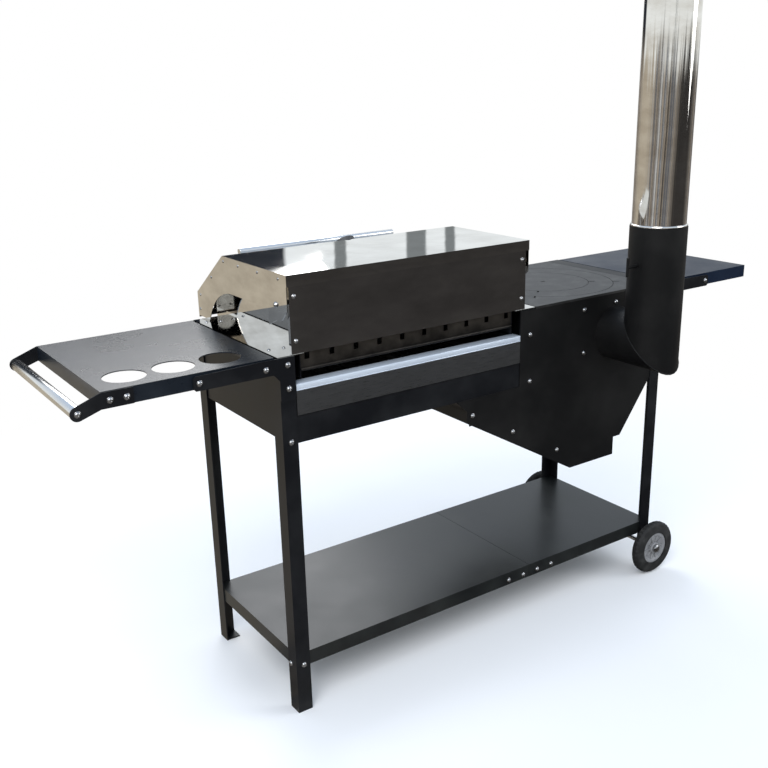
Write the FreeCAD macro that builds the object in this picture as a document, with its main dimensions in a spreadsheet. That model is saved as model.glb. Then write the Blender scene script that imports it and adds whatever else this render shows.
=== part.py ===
"""Wheeled charcoal barbecue cart with a wood stove, two drop-side tables and a chimney.

Millimetres. X runs along the cart: the push handle is at -X, the stove and the wheels are at +X.
Y runs across it: the rear, where the chimney stands, is at -Y and the cook's side is at +Y.
Z is up. Lengths in the functions are counted from the outer bottom corner of the rear left leg, and
every piece is then moved so that the origin lies on the floor under the middle of the whole cart.
"""
import FreeCAD, Part
import math
import os
import re

import Sketcher
from FreeCAD import Placement, Rotation, Vector

# Driving dimensions. Each one becomes a cell of the sheet, with the name as its alias.
DIMENSIONS = {
    # frame
    "span_x": 1171, "span_y": 412, "leg_width": 36, "leg_wall": 3, "worktop": 850,
    "sheet_wall": 2, "thin_wall": 1.5,
    "shelf_top": 151, "shelf_rim": 35, "shelf_split": 707, "shelf_gap": 1,
    # wheels
    "wheel_x": 1157, "wheel_radius": 78, "wheel_width": 26, "wheel_gap": 17, "axle_radius": 6,
    "hub_radius": 46, "tyre_round": 8, "cap_radius": 12, "cap_length": 9,
    # brazier
    "brazier_length": 705, "brazier_bottom": 655, "floor_level": 670, "wall_in": 5, "opening_right": 658,
    "drawer_sill": 715, "end_bottom": 666, "fire_end": 62, "fire_wall": 20, "fire_bottom": 790,
    "liner_bottom": 808, "roll_radius": 4,
    "notch_pitch": 61, "notch_width": 12, "notch_depth": 19, "notches": 10,
    # charcoal drawer
    "drawer_top": 785, "drawer_lip": 28, "drawer_face_gap": 2, "drawer_left": 46,
    "drawer_right": 642, "drawer_depth": 375,
    "runner_width": 65,
    # hood
    "hood_middle": 350, "panel_half": 318.5, "panel_top": 993, "wing_half": 290, "wing_rear_top": 985,
    "lid_half": 325, "lid_top": 1015, "lid_back": -4, "lid_ridge": 287, "lid_front": 437,
    "lid_knee": 910, "lid_bottom": 849, "lid_skirt": 24, "lid_end_bottom": 853,
    "pivot_y": 44, "pivot_z": 948, "ear_radius": 33, "arch_top": 934, "arch_back": 120,
    "arch_front": 250, "arch_radius": 139,
    "lid_grip_y": 413, "lid_grip_z": 996, "lid_grip_half": 222, "lid_grip_radius": 8,
    "lid_post_half": 150,
    "dial_x": 372, "dial_drop": 38, "dial_radius": 24, "dial_thick": 12, "dial_stand": 6,
    # stove
    "stove_right": 1134, "hopper_tip": 461, "hopper_end": 493, "hopper_step": 626,
    "hopper_low_end": 596, "ash_left": 842, "ash_right": 1003, "ash_floor": 394, "ash_roof": 444,
    "hopper_right_foot": 1028, "hopper_right_top": 588,
    "hob_left": 705.5, "hob_right": 1134.5, "hob_thick": 6, "hob_step": 3, "hob_ledge": 6,
    "hob_x": 921.5, "hob_y": 206, "ring_radius": 185, "disc_radius": 120, "ring_gap": 1.5,
    "lift_slot": 18, "slot_width": 5,
    "edge_strip_right": 1176,
    "grate_level": 588, "grate_left": 530, "grate_right": 1124, "grate_bar": 8, "grate_bars": 12,
    # stove door and ash drawer
    "door_left": 785, "door_right": 1056, "door_low": 545, "door_high": 775, "door_lap": 15,
    "door_wall": 3, "hinge_x": 1066, "hinge_y": 418, "knuckle_radius": 6, "pin_radius": 3,
    "knuckle_length": 20, "hinge_low": 575, "hinge_high": 725,
    # flue and chimney
    "flue_x": 984, "flue_z": 741, "flue_out": 124, "flue_radius": 69, "flue_wall": 3,
    "sleeve_top": 1031, "pipe_radius": 64.5, "pipe_wall": 1, "pipe_bottom": 1000, "pipe_top": 1995,
    "bead_radius": 68, "bead_height": 6,
    "damper_z": 941, "damper_radius": 57, "spindle_radius": 4, "damper_grip": 46,
    "damper_reach": 33, "knob_reach": 12,
    # side tables
    "left_table_end": -365, "right_table_end": 1519, "table_inner": 8, "table_side": 4,
    "table_rim": 33, "pivot_in": 30, "pivot_drop": 21, "pivot_play": 0.08,
    "cup_radius": 42.5, "cup_first": 71, "cup_pitch": 100, "cup_y": 74,
    "arm_reach_left": 187, "arm_reach_right": 178, "arm_wall": 3, "arm_low": 815, "arm_tip_high": 845,
    "lug_low": 754, "arm_tip": 13,
    "grip_reach": 46, "grip_drop": 33, "grip_radius": 12.5, "grip_wall": 1.5,
    "bracket_radius": 14, "bracket_back": 61, "bracket_wall": 3,
    "rail_reach": 16, "rail_radius": 3, "rail_drop": 31, "rail_inset": 90,
    # fasteners
    "bolt_radius": 3, "bolt_head": 6.5, "bolt_head_height": 4.5, "bolt_play": 0.3, "nut_radius": 6,
    "nut_height": 4, "screw_radius": 2, "screw_head": 4.2, "screw_head_height": 2.6,
}

# Lengths worked out from the driving ones.
DERIVED = {
    "deck": "worktop - sheet_wall",
    "hob_low": "worktop - hob_thick",
    "grip_x": "left_table_end - grip_reach",
    "grip_z": "worktop - grip_drop",
    "cart_left": "grip_x - bracket_radius",
    "cart_right": "right_table_end + rail_reach + rail_radius",
    "cart_back": "0 - flue_out - flue_radius",
    "cart_front": "front_wheel_y + wheel_width + 0.5 + cap_length",
    "shift_x": "(cart_left + cart_right) / 2",
    "shift_y": "(cart_back + cart_front) / 2",
    "brazier_middle": "brazier_length / 2",
    "rear_wheel_y": "0 - wheel_gap - wheel_width",
    "front_wheel_y": "span_y + wheel_gap",
    "panel_left": "hood_middle - panel_half",
    "wing_left_x": "hood_middle - wing_half",
    "wing_right_x": "hood_middle + wing_half",
    "lid_left": "hood_middle - lid_half",
    "slope_run": "lid_front - lid_ridge",
    "slope_fall": "lid_top - lid_knee",
    "slope_length": "sqrt(slope_run * slope_run + slope_fall * slope_fall)",
    "pivot_left": "0 - pivot_in",
    "pivot_right": "span_x + pivot_in",
    "pivot_height": "worktop - pivot_drop",
    "table_depth": "span_y - 2 * table_side",
    "lug_tip_left": "0 - arm_reach_left",
    "lug_tip_right": "span_x + arm_reach_right",
}

TURNS = {
    "+z": Rotation(),
    "-z": Rotation(Vector(1, 0, 0), 180),
    "+y": Rotation(Vector(1, 0, 0), -90),
    "-y": Rotation(Vector(1, 0, 0), 90),
    "+x": Rotation(Vector(0, 1, 0), 90),
    "-x": Rotation(Vector(0, 1, 0), -90),
}
AXES = "xyz"
SPARE_CELL = "D1"

doc = FreeCAD.newDocument("BarbecueCart")
sheet = doc.addObject("Spreadsheet::Sheet", "Sizes")
for row, (alias, size) in enumerate(DIMENSIONS.items(), start=1):
    sheet.set(f"A{row}", alias)
    sheet.set(f"B{row}", str(size))
    sheet.setAlias(f"B{row}", alias)
doc.recompute()

nodes = {}


def formula(text, owner="Sizes."):
    """Write a length as an expression on the sheet's cells."""
    def swap(found):
        word = found.group()
        if word in DERIVED:
            return "(" + formula(DERIVED[word], owner) + ")"
        return owner + word if word in DIMENSIONS else word
    return re.sub(r"[a-z_]\w*", swap, str(text))


def value(text):
    """The number that a length has now, worked out in a spare cell of the sheet."""
    sheet.set(SPARE_CELL, "=" + formula(text, ""))
    doc.recompute([sheet])
    return float(sheet.get(SPARE_CELL))


def new(kind, stem):
    return doc.addObject(kind, stem)


def put(thing, at, turn="+z"):
    """Bind a thing's place, counted from the rear left leg, to the sheet."""
    rotation = TURNS[turn] if isinstance(turn, str) else turn
    thing.Placement = Placement(Vector(), rotation)
    for axis, length, shift in zip(AXES, at, ("shift_x", "shift_y", "0")):
        thing.setExpression(f"Placement.Base.{axis}", formula(f"({length}) - {shift}"))
    return thing


def box(at, size):
    """A block from its lowest corner and its three sides."""
    block = new("Part::Box", "block")
    for side, length in zip(("Length", "Width", "Height"), size):
        block.setExpression(side, formula(length))
    return put(block, at)


def slab(low, high):
    """A block from its lowest and highest corners."""
    return box(low, [f"({b}) - ({a})" for a, b in zip(low, high)])


def rod(at, radius, length, turn="+z"):
    """A round bar that starts at a point and runs the way that turn says."""
    bar = new("Part::Cylinder", "bar")
    bar.setExpression("Radius", formula(radius))
    bar.setExpression("Height", formula(length))
    return put(bar, at, turn)


def cone(at, radius, top_radius, length, turn="+z"):
    """A round taper."""
    taper = new("Part::Cone", "taper")
    taper.setExpression("Radius1", formula(radius))
    taper.setExpression("Radius2", formula(top_radius))
    taper.setExpression("Height", formula(length))
    return put(taper, at, turn)


def fuse(*pieces):
    """One solid from pieces that touch."""
    joined = new("Part::MultiFuse", "fused")
    joined.Shapes = list(pieces)
    joined.Refine = True
    return joined


def group(*pieces):
    """Separate solids kept together."""
    together = new("Part::Compound", "set")
    together.Links = list(pieces)
    return together


def cut(base, *tools):
    """Take tools away from a piece."""
    cutter = tools[0] if len(tools) == 1 else fuse(*tools)
    result = new("Part::Cut", "cut")
    result.Base = base
    result.Tool = cutter
    result.Refine = True
    return result


def tube(at, radius, wall, length, turn="+z"):
    """A pipe."""
    return cut(rod(at, radius, length, turn), rod(at, f"({radius}) - ({wall})", length, turn))


PLANES = {"xy": ("XY_Plane", False), "xz": ("XZ_Plane", True), "yz": ("YZ_Plane", False)}


def plate(plane, at, thickness, outline, holes=()):
    """A flat sheet: a sketched outline, with round holes, padded towards + of the third axis.

    The outline's corners and the holes' centres are lengths counted from the point at.
    """
    body = new("PartDesign::Body", "sheet")
    role, backwards = PLANES[plane]
    sketch = body.newObject("Sketcher::SketchObject", "outline")
    origin_plane = [face for face in body.Origin.OriginFeatures if face.Role == role][0]
    sketch.AttachmentSupport = [(origin_plane, "")]
    sketch.MapMode = "FlatFace"
    corners = [Vector(value(across), value(along), 0) for across, along in outline]
    count = len(corners)
    for index, corner in enumerate(corners):
        sketch.addGeometry(Part.LineSegment(corner, corners[(index + 1) % count]), False)
    for index in range(count):
        sketch.addConstraint(Sketcher.Constraint("Coincident", index, 2, (index + 1) % count, 1))
    for index, corner in enumerate(outline):
        bind_point(sketch, index, 1, corner)
    for across, along, radius in holes:
        centre = Vector(value(across), value(along), 0)
        ring = sketch.addGeometry(Part.Circle(centre, Vector(0, 0, 1), value(radius)), False)
        number = sketch.addConstraint(Sketcher.Constraint("Radius", ring, value(radius)))
        sketch.setExpression(f"Constraints[{number}]", formula(radius))
        bind_point(sketch, ring, 3, (across, along))
    pad = body.newObject("PartDesign::Pad", "pad")
    pad.Profile = sketch
    pad.Reversed = backwards
    pad.setExpression("Length", formula(thickness))
    sketch.Visibility = False
    return put(body, at)


def bind_point(sketch, shape, point, place):
    """Hold a sketch point at two lengths from the sketch's origin."""
    for kind, length in zip(("DistanceX", "DistanceY"), place):
        now = value(length)
        rule = Sketcher.Constraint(kind, -1, 1, shape, point, now)
        number = sketch.addConstraint(rule)
        sketch.setExpression(f"Constraints[{number}]", formula(length))


def node(name, piece):
    """Name a finished piece."""
    piece.Label = name
    nodes[name] = piece
    return piece


# --- fasteners ---------------------------------------------------------------------------------
SIGNS = {"+": 1, "-": -1}


def step(at, way, length):
    """Move a point along a direction such as +y."""
    return [f"({place}) {way[0]} ({length})" if way[1] == axis else place for place, axis in zip(at, AXES)]


def opposite(way):
    return ("-" if way[0] == "+" else "+") + way[1]


def bolt(seat, way, grip, nut=True):
    """A dome-headed bolt whose head sits at seat and whose shank runs the way given."""
    back = opposite(way)
    pieces = [
        cone(seat, "bolt_head", "bolt_head * 0.55", "bolt_head_height", back),
        rod(seat, "bolt_radius", f"({grip}) + nut_height", way),
    ]
    if nut:
        hexagon = new("Part::Prism", "nut")
        hexagon.Polygon = 6
        hexagon.setExpression("Circumradius", formula("nut_radius"))
        hexagon.setExpression("Height", formula("nut_height"))
        pieces.append(put(hexagon, step(seat, way, grip), way))
    return fuse(*pieces)


def bolt_hole(seat, way, grip):
    """The hole that a bolt needs."""
    start = step(seat, opposite(way), "1")
    return rod(start, "bolt_radius + bolt_play", f"({grip}) + 2", way)


def screw(seat, way, grip):
    """A small dome-headed screw."""
    return fuse(
        cone(seat, "screw_head", "screw_head * 0.5", "screw_head_height", opposite(way)),
        rod(seat, "screw_radius", grip, way),
    )


def screw_hole(seat, way, grip):
    return rod(step(seat, opposite(way), "1"), "screw_radius + bolt_play", f"({grip}) + 2", way)


def drilled(piece, holes):
    """A piece with the holes of a list of fasteners."""
    return cut(piece, *[bolt_hole(*hole) for hole in holes])


# Bolts through the frame: head seat, direction and what they clamp.
LEG_MIDDLE = "leg_width * 0.55"
END_X = {"left": LEG_MIDDLE, "right": f"span_x - {LEG_MIDDLE}"}
REAR_SEAT = "0 - arm_wall"
FRONT_SEAT = "span_y + arm_wall"
CLAMP = "arm_wall + leg_wall"
PIVOT_GRIP = "arm_wall + table_side + sheet_wall + 0.3"

lug_bolts = {}
for end, place in END_X.items():
    for height_name, height in (("high", "pivot_height + 2"), ("low", "lug_low + 26")):
        lug_bolts[f"rear_{end}_{height_name}"] = ((place, REAR_SEAT, height), "+y", CLAMP)
        lug_bolts[f"front_{end}_{height_name}"] = ((place, FRONT_SEAT, height), "-y", CLAMP)

shelf_bolts = {}
for end, place in END_X.items():
    shelf_bolts[f"rear_{end}"] = ((place, "0", "shelf_top - 29"), "+y", "leg_wall + sheet_wall")
    shelf_bolts[f"front_{end}"] = ((place, "span_y", "shelf_top - 29"), "-y", "leg_wall + sheet_wall")

shelf_side_bolts = {
    "rear_left": (("0", "leg_width * 2 / 3", "shelf_top - 30"), "+x", "leg_wall + sheet_wall"),
}

floor_bolts = {
    "rear": ((LEG_MIDDLE, "0", "brazier_bottom + 6"), "+y", "wall_in"),
    "front": ((LEG_MIDDLE, "span_y", "brazier_bottom + 6"), "-y", "wall_in"),
}

table_pivots = {
    "rear_left": (("pivot_left", REAR_SEAT, "pivot_height"), "+y", PIVOT_GRIP),
    "front_left": (("pivot_left", FRONT_SEAT, "pivot_height"), "-y", PIVOT_GRIP),
    "rear_right": (("pivot_right", REAR_SEAT, "pivot_height"), "+y", PIVOT_GRIP),
    "front_right": (("pivot_right", FRONT_SEAT, "pivot_height"), "-y", PIVOT_GRIP),
}

lap_bolts = {
    "high": (("689", "1", "782"), "+y", "2 * sheet_wall"),
    "low": (("691", "1", "663"), "+y", "2 * sheet_wall"),
    "front_high": (("689", "span_y - 1", "782"), "-y", "2 * sheet_wall"),
    "front_low": (("691", "span_y - 1", "663"), "-y", "2 * sheet_wall"),
}

FLUE_BOLTS = (("0 - 112", "75"), ("0 - 108", "0 - 38"), ("2", "79"), ("108", "0 - 38"), ("112", "75"))
flue_bolts = {
    str(number): ((f"flue_x + {across}", "1", f"flue_z + {up}"), "+y", "sheet_wall")
    for number, (across, up) in enumerate(FLUE_BOLTS)
}

CHUTE_RIVETS = (("510", "612"), ("639", "542"), ("792", "457"))
chute_rivets = {
    f"rivet_{number}": ((across, "1", up), "+y", "sheet_wall")
    for number, (across, up) in enumerate(CHUTE_RIVETS)
}

tip_bolts = {
    "rear_left": (("lug_tip_left + arm_tip", REAR_SEAT, "pivot_height + 1"), "+y", "arm_wall"),
    "front_left": (("lug_tip_left + arm_tip", FRONT_SEAT, "pivot_height + 1"), "-y", "arm_wall"),
    "rear_right": (("lug_tip_right - arm_tip", REAR_SEAT, "pivot_height + 1"), "+y", "arm_wall"),
    "front_right": (("lug_tip_right - arm_tip", FRONT_SEAT, "pivot_height + 1"), "-y", "arm_wall"),
}


def of_side(bolts, word):
    return [spec for name, spec in bolts.items() if word in name]


# --- frame -------------------------------------------------------------------------------------
def leg(side, end):
    """An angle-section leg with its corner outwards."""
    near = "0" if side == "rear" else "span_y - leg_wall"
    flange_y = "0" if side == "rear" else "span_y - leg_width"
    left = "0" if end == "left" else "span_x - leg_width"
    web_x = "0" if end == "left" else "span_x - leg_wall"
    foot = "0" if end == "left" else "wheel_radius - leg_width / 2"
    height = f"deck - ({foot})"
    angle = fuse(
        box((left, near, foot), ("leg_width", "leg_wall", height)),
        box((web_x, flange_y, foot), ("leg_wall", "leg_width", height)),
    )
    holes = [bolt_hole(*spec) for spec in of_side(lug_bolts, f"{side}_{end}")]
    holes += [bolt_hole(*spec) for spec in of_side(shelf_bolts, f"{side}_{end}")]
    if end == "left":
        holes.append(bolt_hole(*floor_bolts[side]))
        if side == "rear":
            holes.append(bolt_hole(*shelf_side_bolts["rear_left"]))
    else:
        holes.append(rod(("wheel_x", "0 - 10", "wheel_radius"), "axle_radius + 0.2", "span_y + 20", "+y"))
    angle = cut(angle, *holes)
    if end == "left":
        foot_y = "leg_wall" if side == "rear" else "span_y - leg_width"
        pad = box(("leg_wall", foot_y, "0"), ("leg_width - leg_wall", "leg_width - leg_wall", "leg_wall"))
        angle = fuse(angle, pad)
    return node(f"leg_{side}_{end}", angle)


def shelf(end, left, right, holes):
    """Half of the shelf: a sheet with its rim turned down, open where the halves meet."""
    inset = "leg_wall"
    low = (left, inset, "shelf_top - shelf_rim")
    high = (right, f"span_y - {inset}", "shelf_top")
    hollow_left = f"{left} + sheet_wall" if end == "left" else f"{left} - 1"
    hollow_right = f"{right} + 1" if end == "left" else f"{right} - sheet_wall"
    hollow_low = (hollow_left, f"{inset} + sheet_wall", "shelf_top - shelf_rim - 1")
    hollow_high = (hollow_right, f"span_y - {inset} - sheet_wall", "shelf_top - sheet_wall")
    tray = cut(slab(low, high), slab(hollow_low, hollow_high), *[bolt_hole(*hole) for hole in holes])
    return node(f"shelf_{end}", tray)


def frame():
    for side in ("rear", "front"):
        for end in ("left", "right"):
            leg(side, end)
    joint_bolts = {"left": [], "right": []}
    strips = []
    for side, seat, way in (("rear", "leg_wall", "+y"), ("front", "span_y - leg_wall", "-y")):
        for across in ("0 - 75", "0 - 25", "25", "75"):
            half = "left" if across.startswith("0") else "right"
            place = (f"shelf_split + 5 + ({across})", seat, "shelf_top - 23")
            joint_bolts[half].append((place, way, "sheet_wall + leg_wall"))
        near = "leg_wall + sheet_wall" if side == "rear" else "span_y - 2 * leg_wall - sheet_wall"
        strip = box(("shelf_split - 77", near, "shelf_top - 32"), ("165", "leg_wall", "18"))
        strips.append(drilled(strip, [spec for half in joint_bolts.values() for spec in half]))
    node("shelf_joiners", group(*strips))
    left_holes = of_side(shelf_bolts, "left") + of_side(shelf_side_bolts, "left") + joint_bolts["left"]
    right_holes = of_side(shelf_bolts, "right") + joint_bolts["right"]
    shelf("left", "leg_wall", "shelf_split", left_holes)
    shelf("right", "shelf_split + shelf_gap", "span_x - leg_wall", right_holes)
    return joint_bolts["left"] + joint_bolts["right"]


def wheels():
    """Two rubber-tyred wheels on a fixed axle, each held by a cap."""
    axle_start = "rear_wheel_y - 2"
    axle_length = "front_wheel_y + wheel_width + 2 - rear_wheel_y + 2"
    node("axle", rod(("wheel_x", axle_start, "wheel_radius"), "axle_radius", axle_length, "+y"))
    for side, start in (("rear", "rear_wheel_y"), ("front", "front_wheel_y")):
        place = ("wheel_x", start, "wheel_radius")
        tread = rod(place, "wheel_radius", "wheel_width", "+y")
        round_it = new("Part::Fillet", "rounding")
        round_it.Base = tread
        doc.recompute()
        rims = [number for number, edge in enumerate(tread.Shape.Edges, start=1) if edge.isClosed()
                and edge.Length > 1 and isinstance(edge.Curve, Part.Circle)]
        round_it.Edges = [(number, DIMENSIONS["tyre_round"], DIMENSIONS["tyre_round"]) for number in rims]
        node(f"tyre_{side}", cut(round_it, rod(place, "hub_radius", "wheel_width", "+y")))
        hub = fuse(
            rod((place[0], f"{start} + 3", place[2]), "hub_radius", "wheel_width - 6", "+y"),
            rod(place, "hub_radius * 0.35", "wheel_width", "+y"),
        )
        bore = rod(step(place, "-y", "1"), "axle_radius + 0.08", "wheel_width + 2", "+y")
        node(f"hub_{side}", cut(hub, bore))
    rear_cap = cut(
        rod(("wheel_x", "rear_wheel_y - cap_length - 0.5", "wheel_radius"), "cap_radius", "cap_length", "+y"),
        rod(("wheel_x", "rear_wheel_y - 2", "wheel_radius"), "axle_radius", "5", "+y"),
    )
    front_cap = cut(
        rod(("wheel_x", "front_wheel_y + wheel_width + 0.5", "wheel_radius"), "cap_radius", "cap_length", "+y"),
        rod(("wheel_x", "front_wheel_y + wheel_width - 3", "wheel_radius"), "axle_radius", "5", "+y"),
    )
    node("axle_caps", group(rear_cap, front_cap))


# --- brazier -----------------------------------------------------------------------------------
def brazier():
    low = "brazier_bottom"
    wall_y = "wall_in - sheet_wall"
    outline = [
        ("leg_wall", low), ("brazier_length", low), ("brazier_length", "deck"), ("opening_right", "deck"),
        ("opening_right", "drawer_sill"), ("leg_width", "drawer_sill"), ("leg_width", "deck"),
        ("leg_wall", "deck"),
    ]
    rear_holes = [floor_bolts["rear"]] + of_side(lap_bolts, "high")[:1] + of_side(lap_bolts, "low")[:1]
    rear_holes += of_side(lug_bolts, "rear_left")
    rear = plate("xz", ("0", wall_y, "0"), "sheet_wall", outline)
    node("brazier_rear_wall", drilled(rear, [deeper(hole) for hole in rear_holes]))
    front = slab(
        ("leg_wall", "span_y - wall_in", low),
        ("brazier_length", "span_y - wall_in + sheet_wall", "deck"))
    front_holes = [floor_bolts["front"], lap_bolts["front_high"], lap_bolts["front_low"]]
    front_holes += of_side(lug_bolts, "front_left")
    node("brazier_front_wall", drilled(front, [deeper(hole) for hole in front_holes]))
    node("brazier_floor", slab(
        ("wall_in", "wall_in", "floor_level"),
        ("brazier_length - sheet_wall", "span_y - wall_in", "floor_level + sheet_wall")))
    brazier_end("left")
    brazier_end("right")
    for side in ("rear", "front"):
        liner(side)


def deeper(hole):
    """The same hole, long enough for the wall behind as well."""
    seat, way, grip = hole
    return seat, way, f"({grip}) + wall_in"


def brazier_end(end):
    """An end panel whose top turns in over the fire box and down again, with a drawer runner."""
    inner = "wall_in"
    depth = "span_y - 2 * wall_in"
    if end == "left":
        panel = box(("leg_wall", inner, "end_bottom"), ("sheet_wall", depth, "deck - end_bottom"))
        top = box(("leg_wall", inner, "deck - sheet_wall"), ("fire_end - leg_wall", depth, "sheet_wall"))
        drop_x = "fire_end - sheet_wall"
        runner_x = "wall_in"
    else:
        panel = box(("brazier_length - sheet_wall", inner, "brazier_bottom"),
                    ("sheet_wall", depth, "deck - brazier_bottom"))
        top = box(("brazier_length - fire_end", inner, "deck - sheet_wall"), ("fire_end", depth, "sheet_wall"))
        drop_x = "brazier_length - fire_end"
        runner_x = "brazier_length - sheet_wall - runner_width"
    drop_size = ("sheet_wall", "span_y - 2 * fire_wall", "deck - fire_bottom")
    drop = box((drop_x, "fire_wall", "fire_bottom"), drop_size)
    runner = box((runner_x, inner, "drawer_sill"), ("runner_width", depth, "sheet_wall"))
    ends = cut(fuse(panel, top, drop, runner), *[
        screw_hole(*spec) for spec in base_screws(end)
    ])
    return node(f"brazier_end_{end}", ends)


def liner(side):
    """The fire box's long wall, notched for skewers, with a rolled lower edge."""
    at_y = "fire_wall" if side == "rear" else "span_y - fire_wall - sheet_wall"
    left = "fire_end"
    length = "brazier_length - 2 * fire_end"
    wall = box((left, at_y, "liner_bottom"), (length, "sheet_wall", "deck - liner_bottom"))
    roll = rod((left, f"{at_y} + sheet_wall / 2", "liner_bottom"), "roll_radius", length, "+x")
    gaps = []
    count = DIMENSIONS["notches"]
    for number in range(count):
        across = f"brazier_middle + ({number - (count - 1) / 2}) * notch_pitch - notch_width / 2"
        notch = ("notch_width", "sheet_wall + 2", "notch_depth + 1")
        gaps.append(box((across, f"{at_y} - 1", "deck - notch_depth"), notch))
    return node(f"liner_{side}", cut(fuse(wall, roll), *gaps))


def charcoal_drawer():
    """The pull-out charcoal pan: a bright front with a wide lip, and an open box behind it."""
    bottom = "drawer_sill + sheet_wall"
    face_left = "leg_width + drawer_face_gap"
    face_right = "opening_right - drawer_face_gap"
    face = slab((face_left, "0", bottom), (face_right, "thin_wall", "drawer_top"))
    lip = slab((face_left, "0", "drawer_top - thin_wall"), (face_right, "drawer_lip", "drawer_top"))
    outer = slab(
        ("drawer_left", "drawer_lip - thin_wall", bottom),
        ("drawer_right", "drawer_depth", "drawer_top"))
    hollow = slab(
        ("drawer_left + thin_wall", "drawer_lip", f"{bottom} + thin_wall"),
        ("drawer_right - thin_wall", "drawer_depth - thin_wall", "drawer_top + 1"))
    floor = slab(("drawer_left", "0", bottom), ("drawer_right", "drawer_lip", f"{bottom} + thin_wall"))
    node("charcoal_drawer", fuse(face, lip, cut(outer, hollow), floor))
    plate_low = f"{bottom} + thin_wall + 8"
    sheet_plate = slab(
        ("drawer_left + 6", "drawer_lip + 6", plate_low),
        ("drawer_right - 6", "drawer_depth - 6", f"{plate_low} + sheet_wall"))
    slots = []
    for row in range(3):
        for number in range(14):
            across = f"drawer_left + 30 + {number} * 40"
            deep = f"drawer_lip + 30 + {row} * 105"
            slots.append(box((across, deep, f"{plate_low} - 1"), ("10", "80", "sheet_wall + 2")))
    feet = [
        box((across, deep, f"{bottom} + thin_wall"), ("12", "12", "8"))
        for across in ("drawer_left + 8", "drawer_right - 20")
        for deep in ("drawer_lip + 8", "drawer_depth - 20")
    ]
    node("charcoal_grate", fuse(cut(sheet_plate, *slots), *feet))


# --- hood --------------------------------------------------------------------------------------
def base_screws(end):
    """Screws that hold a hood wing's foot down on the end of the brazier."""
    wing = "wing_left_x" if end == "left" else "wing_right_x"
    out = "-" if end == "left" else "+"
    places = ((47, 64), (47, 371), (14, 60), (16, 360))
    return [((f"{wing} {out} {across}", f"{deep}", "deck + thin_wall"), "-z", "thin_wall + sheet_wall")
            for across, deep in places]


def panel_screws(end):
    """Screws that hold the rear panel on a wing's rear flange."""
    sign = "-" if end == "left" else "+"
    return [((f"hood_middle {sign} 307", "0", height), "+y", "2 * thin_wall") for height in ("970", "877")]


def wing(end):
    """A fixed polished side plate with a foot and a rear flange, both turned outwards."""
    left = end == "left"
    at_x = "wing_left_x" if left else "wing_right_x - thin_wall"
    outline = [
        ("thin_wall", "deck"), ("span_y", "deck"), ("span_y", "worktop + 55"),
        ("lid_ridge - 7", "lid_top - 15"),
        ("pivot_y - 4", "lid_top - 15"), ("thin_wall", "wing_rear_top"),
    ]
    side = plate("yz", (at_x, "0", "0"), "thin_wall", outline)
    foot_low = ("0 - 2", "0", "deck") if left else ("wing_right_x - thin_wall", "0", "deck")
    foot_high = ("wing_left_x + thin_wall", "span_y", "deck + thin_wall") if left else (
        "brazier_length - 2", "span_y", "deck + thin_wall")
    foot = slab(foot_low, foot_high)
    if left:
        flange = slab(("panel_left + 2 * thin_wall", "thin_wall", "worktop + 10"),
                      ("wing_left_x + thin_wall", "2 * thin_wall", "wing_rear_top"))
    else:
        flange = slab(("wing_right_x - thin_wall", "thin_wall", "worktop + 10"),
                      ("hood_middle + panel_half - 2 * thin_wall", "2 * thin_wall", "wing_rear_top"))
    holes = [screw_hole(*spec) for spec in base_screws(end) + panel_screws(end)]
    start = f"{at_x} - 1"
    holes.append(rod((start, "pivot_y", "pivot_z"), "bolt_radius + bolt_play", "thin_wall + 2", "+x"))
    return node(f"wing_{end}", cut(fuse(side, foot, flange), *holes))


def rear_panel():
    """The fixed rear wall of the hood, with its ends turned in."""
    low = ("panel_left", "0", "worktop")
    high = ("hood_middle + panel_half", "thin_wall", "panel_top")
    returns = [
        slab((edge, "thin_wall", "worktop"), (f"{edge} + thin_wall", "9", "panel_top"))
        for edge in ("panel_left", "hood_middle + panel_half - thin_wall")
    ]
    holes = [screw_hole(*spec) for end in ("left", "right") for spec in panel_screws(end)]
    return node("hood_rear_panel", cut(fuse(slab(low, high), *returns), *holes))


def lid_skin():
    """The lid's folded skin: rear skirt, top, slope and front lip."""
    wall = "thin_wall"
    shoulder = "thin_wall * 0.55"
    outline = [
        ("lid_back", "lid_top"), ("lid_ridge", "lid_top"), ("lid_front", "lid_knee"),
        ("lid_front", "lid_bottom"),
        (f"lid_front - {wall}", "lid_bottom"), (f"lid_front - {wall}", f"lid_knee - {shoulder}"),
        (f"lid_ridge - {shoulder}", f"lid_top - {wall}"), (f"lid_back + {wall}", f"lid_top - {wall}"),
        (f"lid_back + {wall}", "lid_top - lid_skirt"), ("lid_back", "lid_top - lid_skirt"),
    ]
    skin = plate("yz", ("lid_left", "0", "0"), "2 * lid_half", outline)
    holes = [rod(spot, "screw_radius", "60", SLOPE_TURN) for spot in grip_feet()]
    holes.append(rod(dial_seat("0 - 10"), "screw_radius", "60", SLOPE_TURN))
    return node("lid_skin", cut(skin, *holes))


SLOPE_ANGLE = math.degrees(math.atan2(DIMENSIONS["lid_front"] - DIMENSIONS["lid_ridge"],
                                      DIMENSIONS["lid_top"] - DIMENSIONS["lid_knee"]))
SLOPE_TURN = Rotation(Vector(1, 0, 0), SLOPE_ANGLE - 90)
NORMAL_Y = "(slope_fall / slope_length)"
NORMAL_Z = "(slope_run / slope_length)"
GRIP_STAND = "((lid_grip_y - lid_ridge) * slope_fall + (lid_grip_z - lid_top) * slope_run) / slope_length"


def grip_feet():
    """Where the lid handle's posts start, a little under the slope."""
    deep = f"({GRIP_STAND} + 8)"
    return [
        (f"hood_middle {sign} lid_post_half",
         f"lid_grip_y - {deep} * {NORMAL_Y}",
         f"lid_grip_z - {deep} * {NORMAL_Z}")
        for sign in "-+"
    ]


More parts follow.
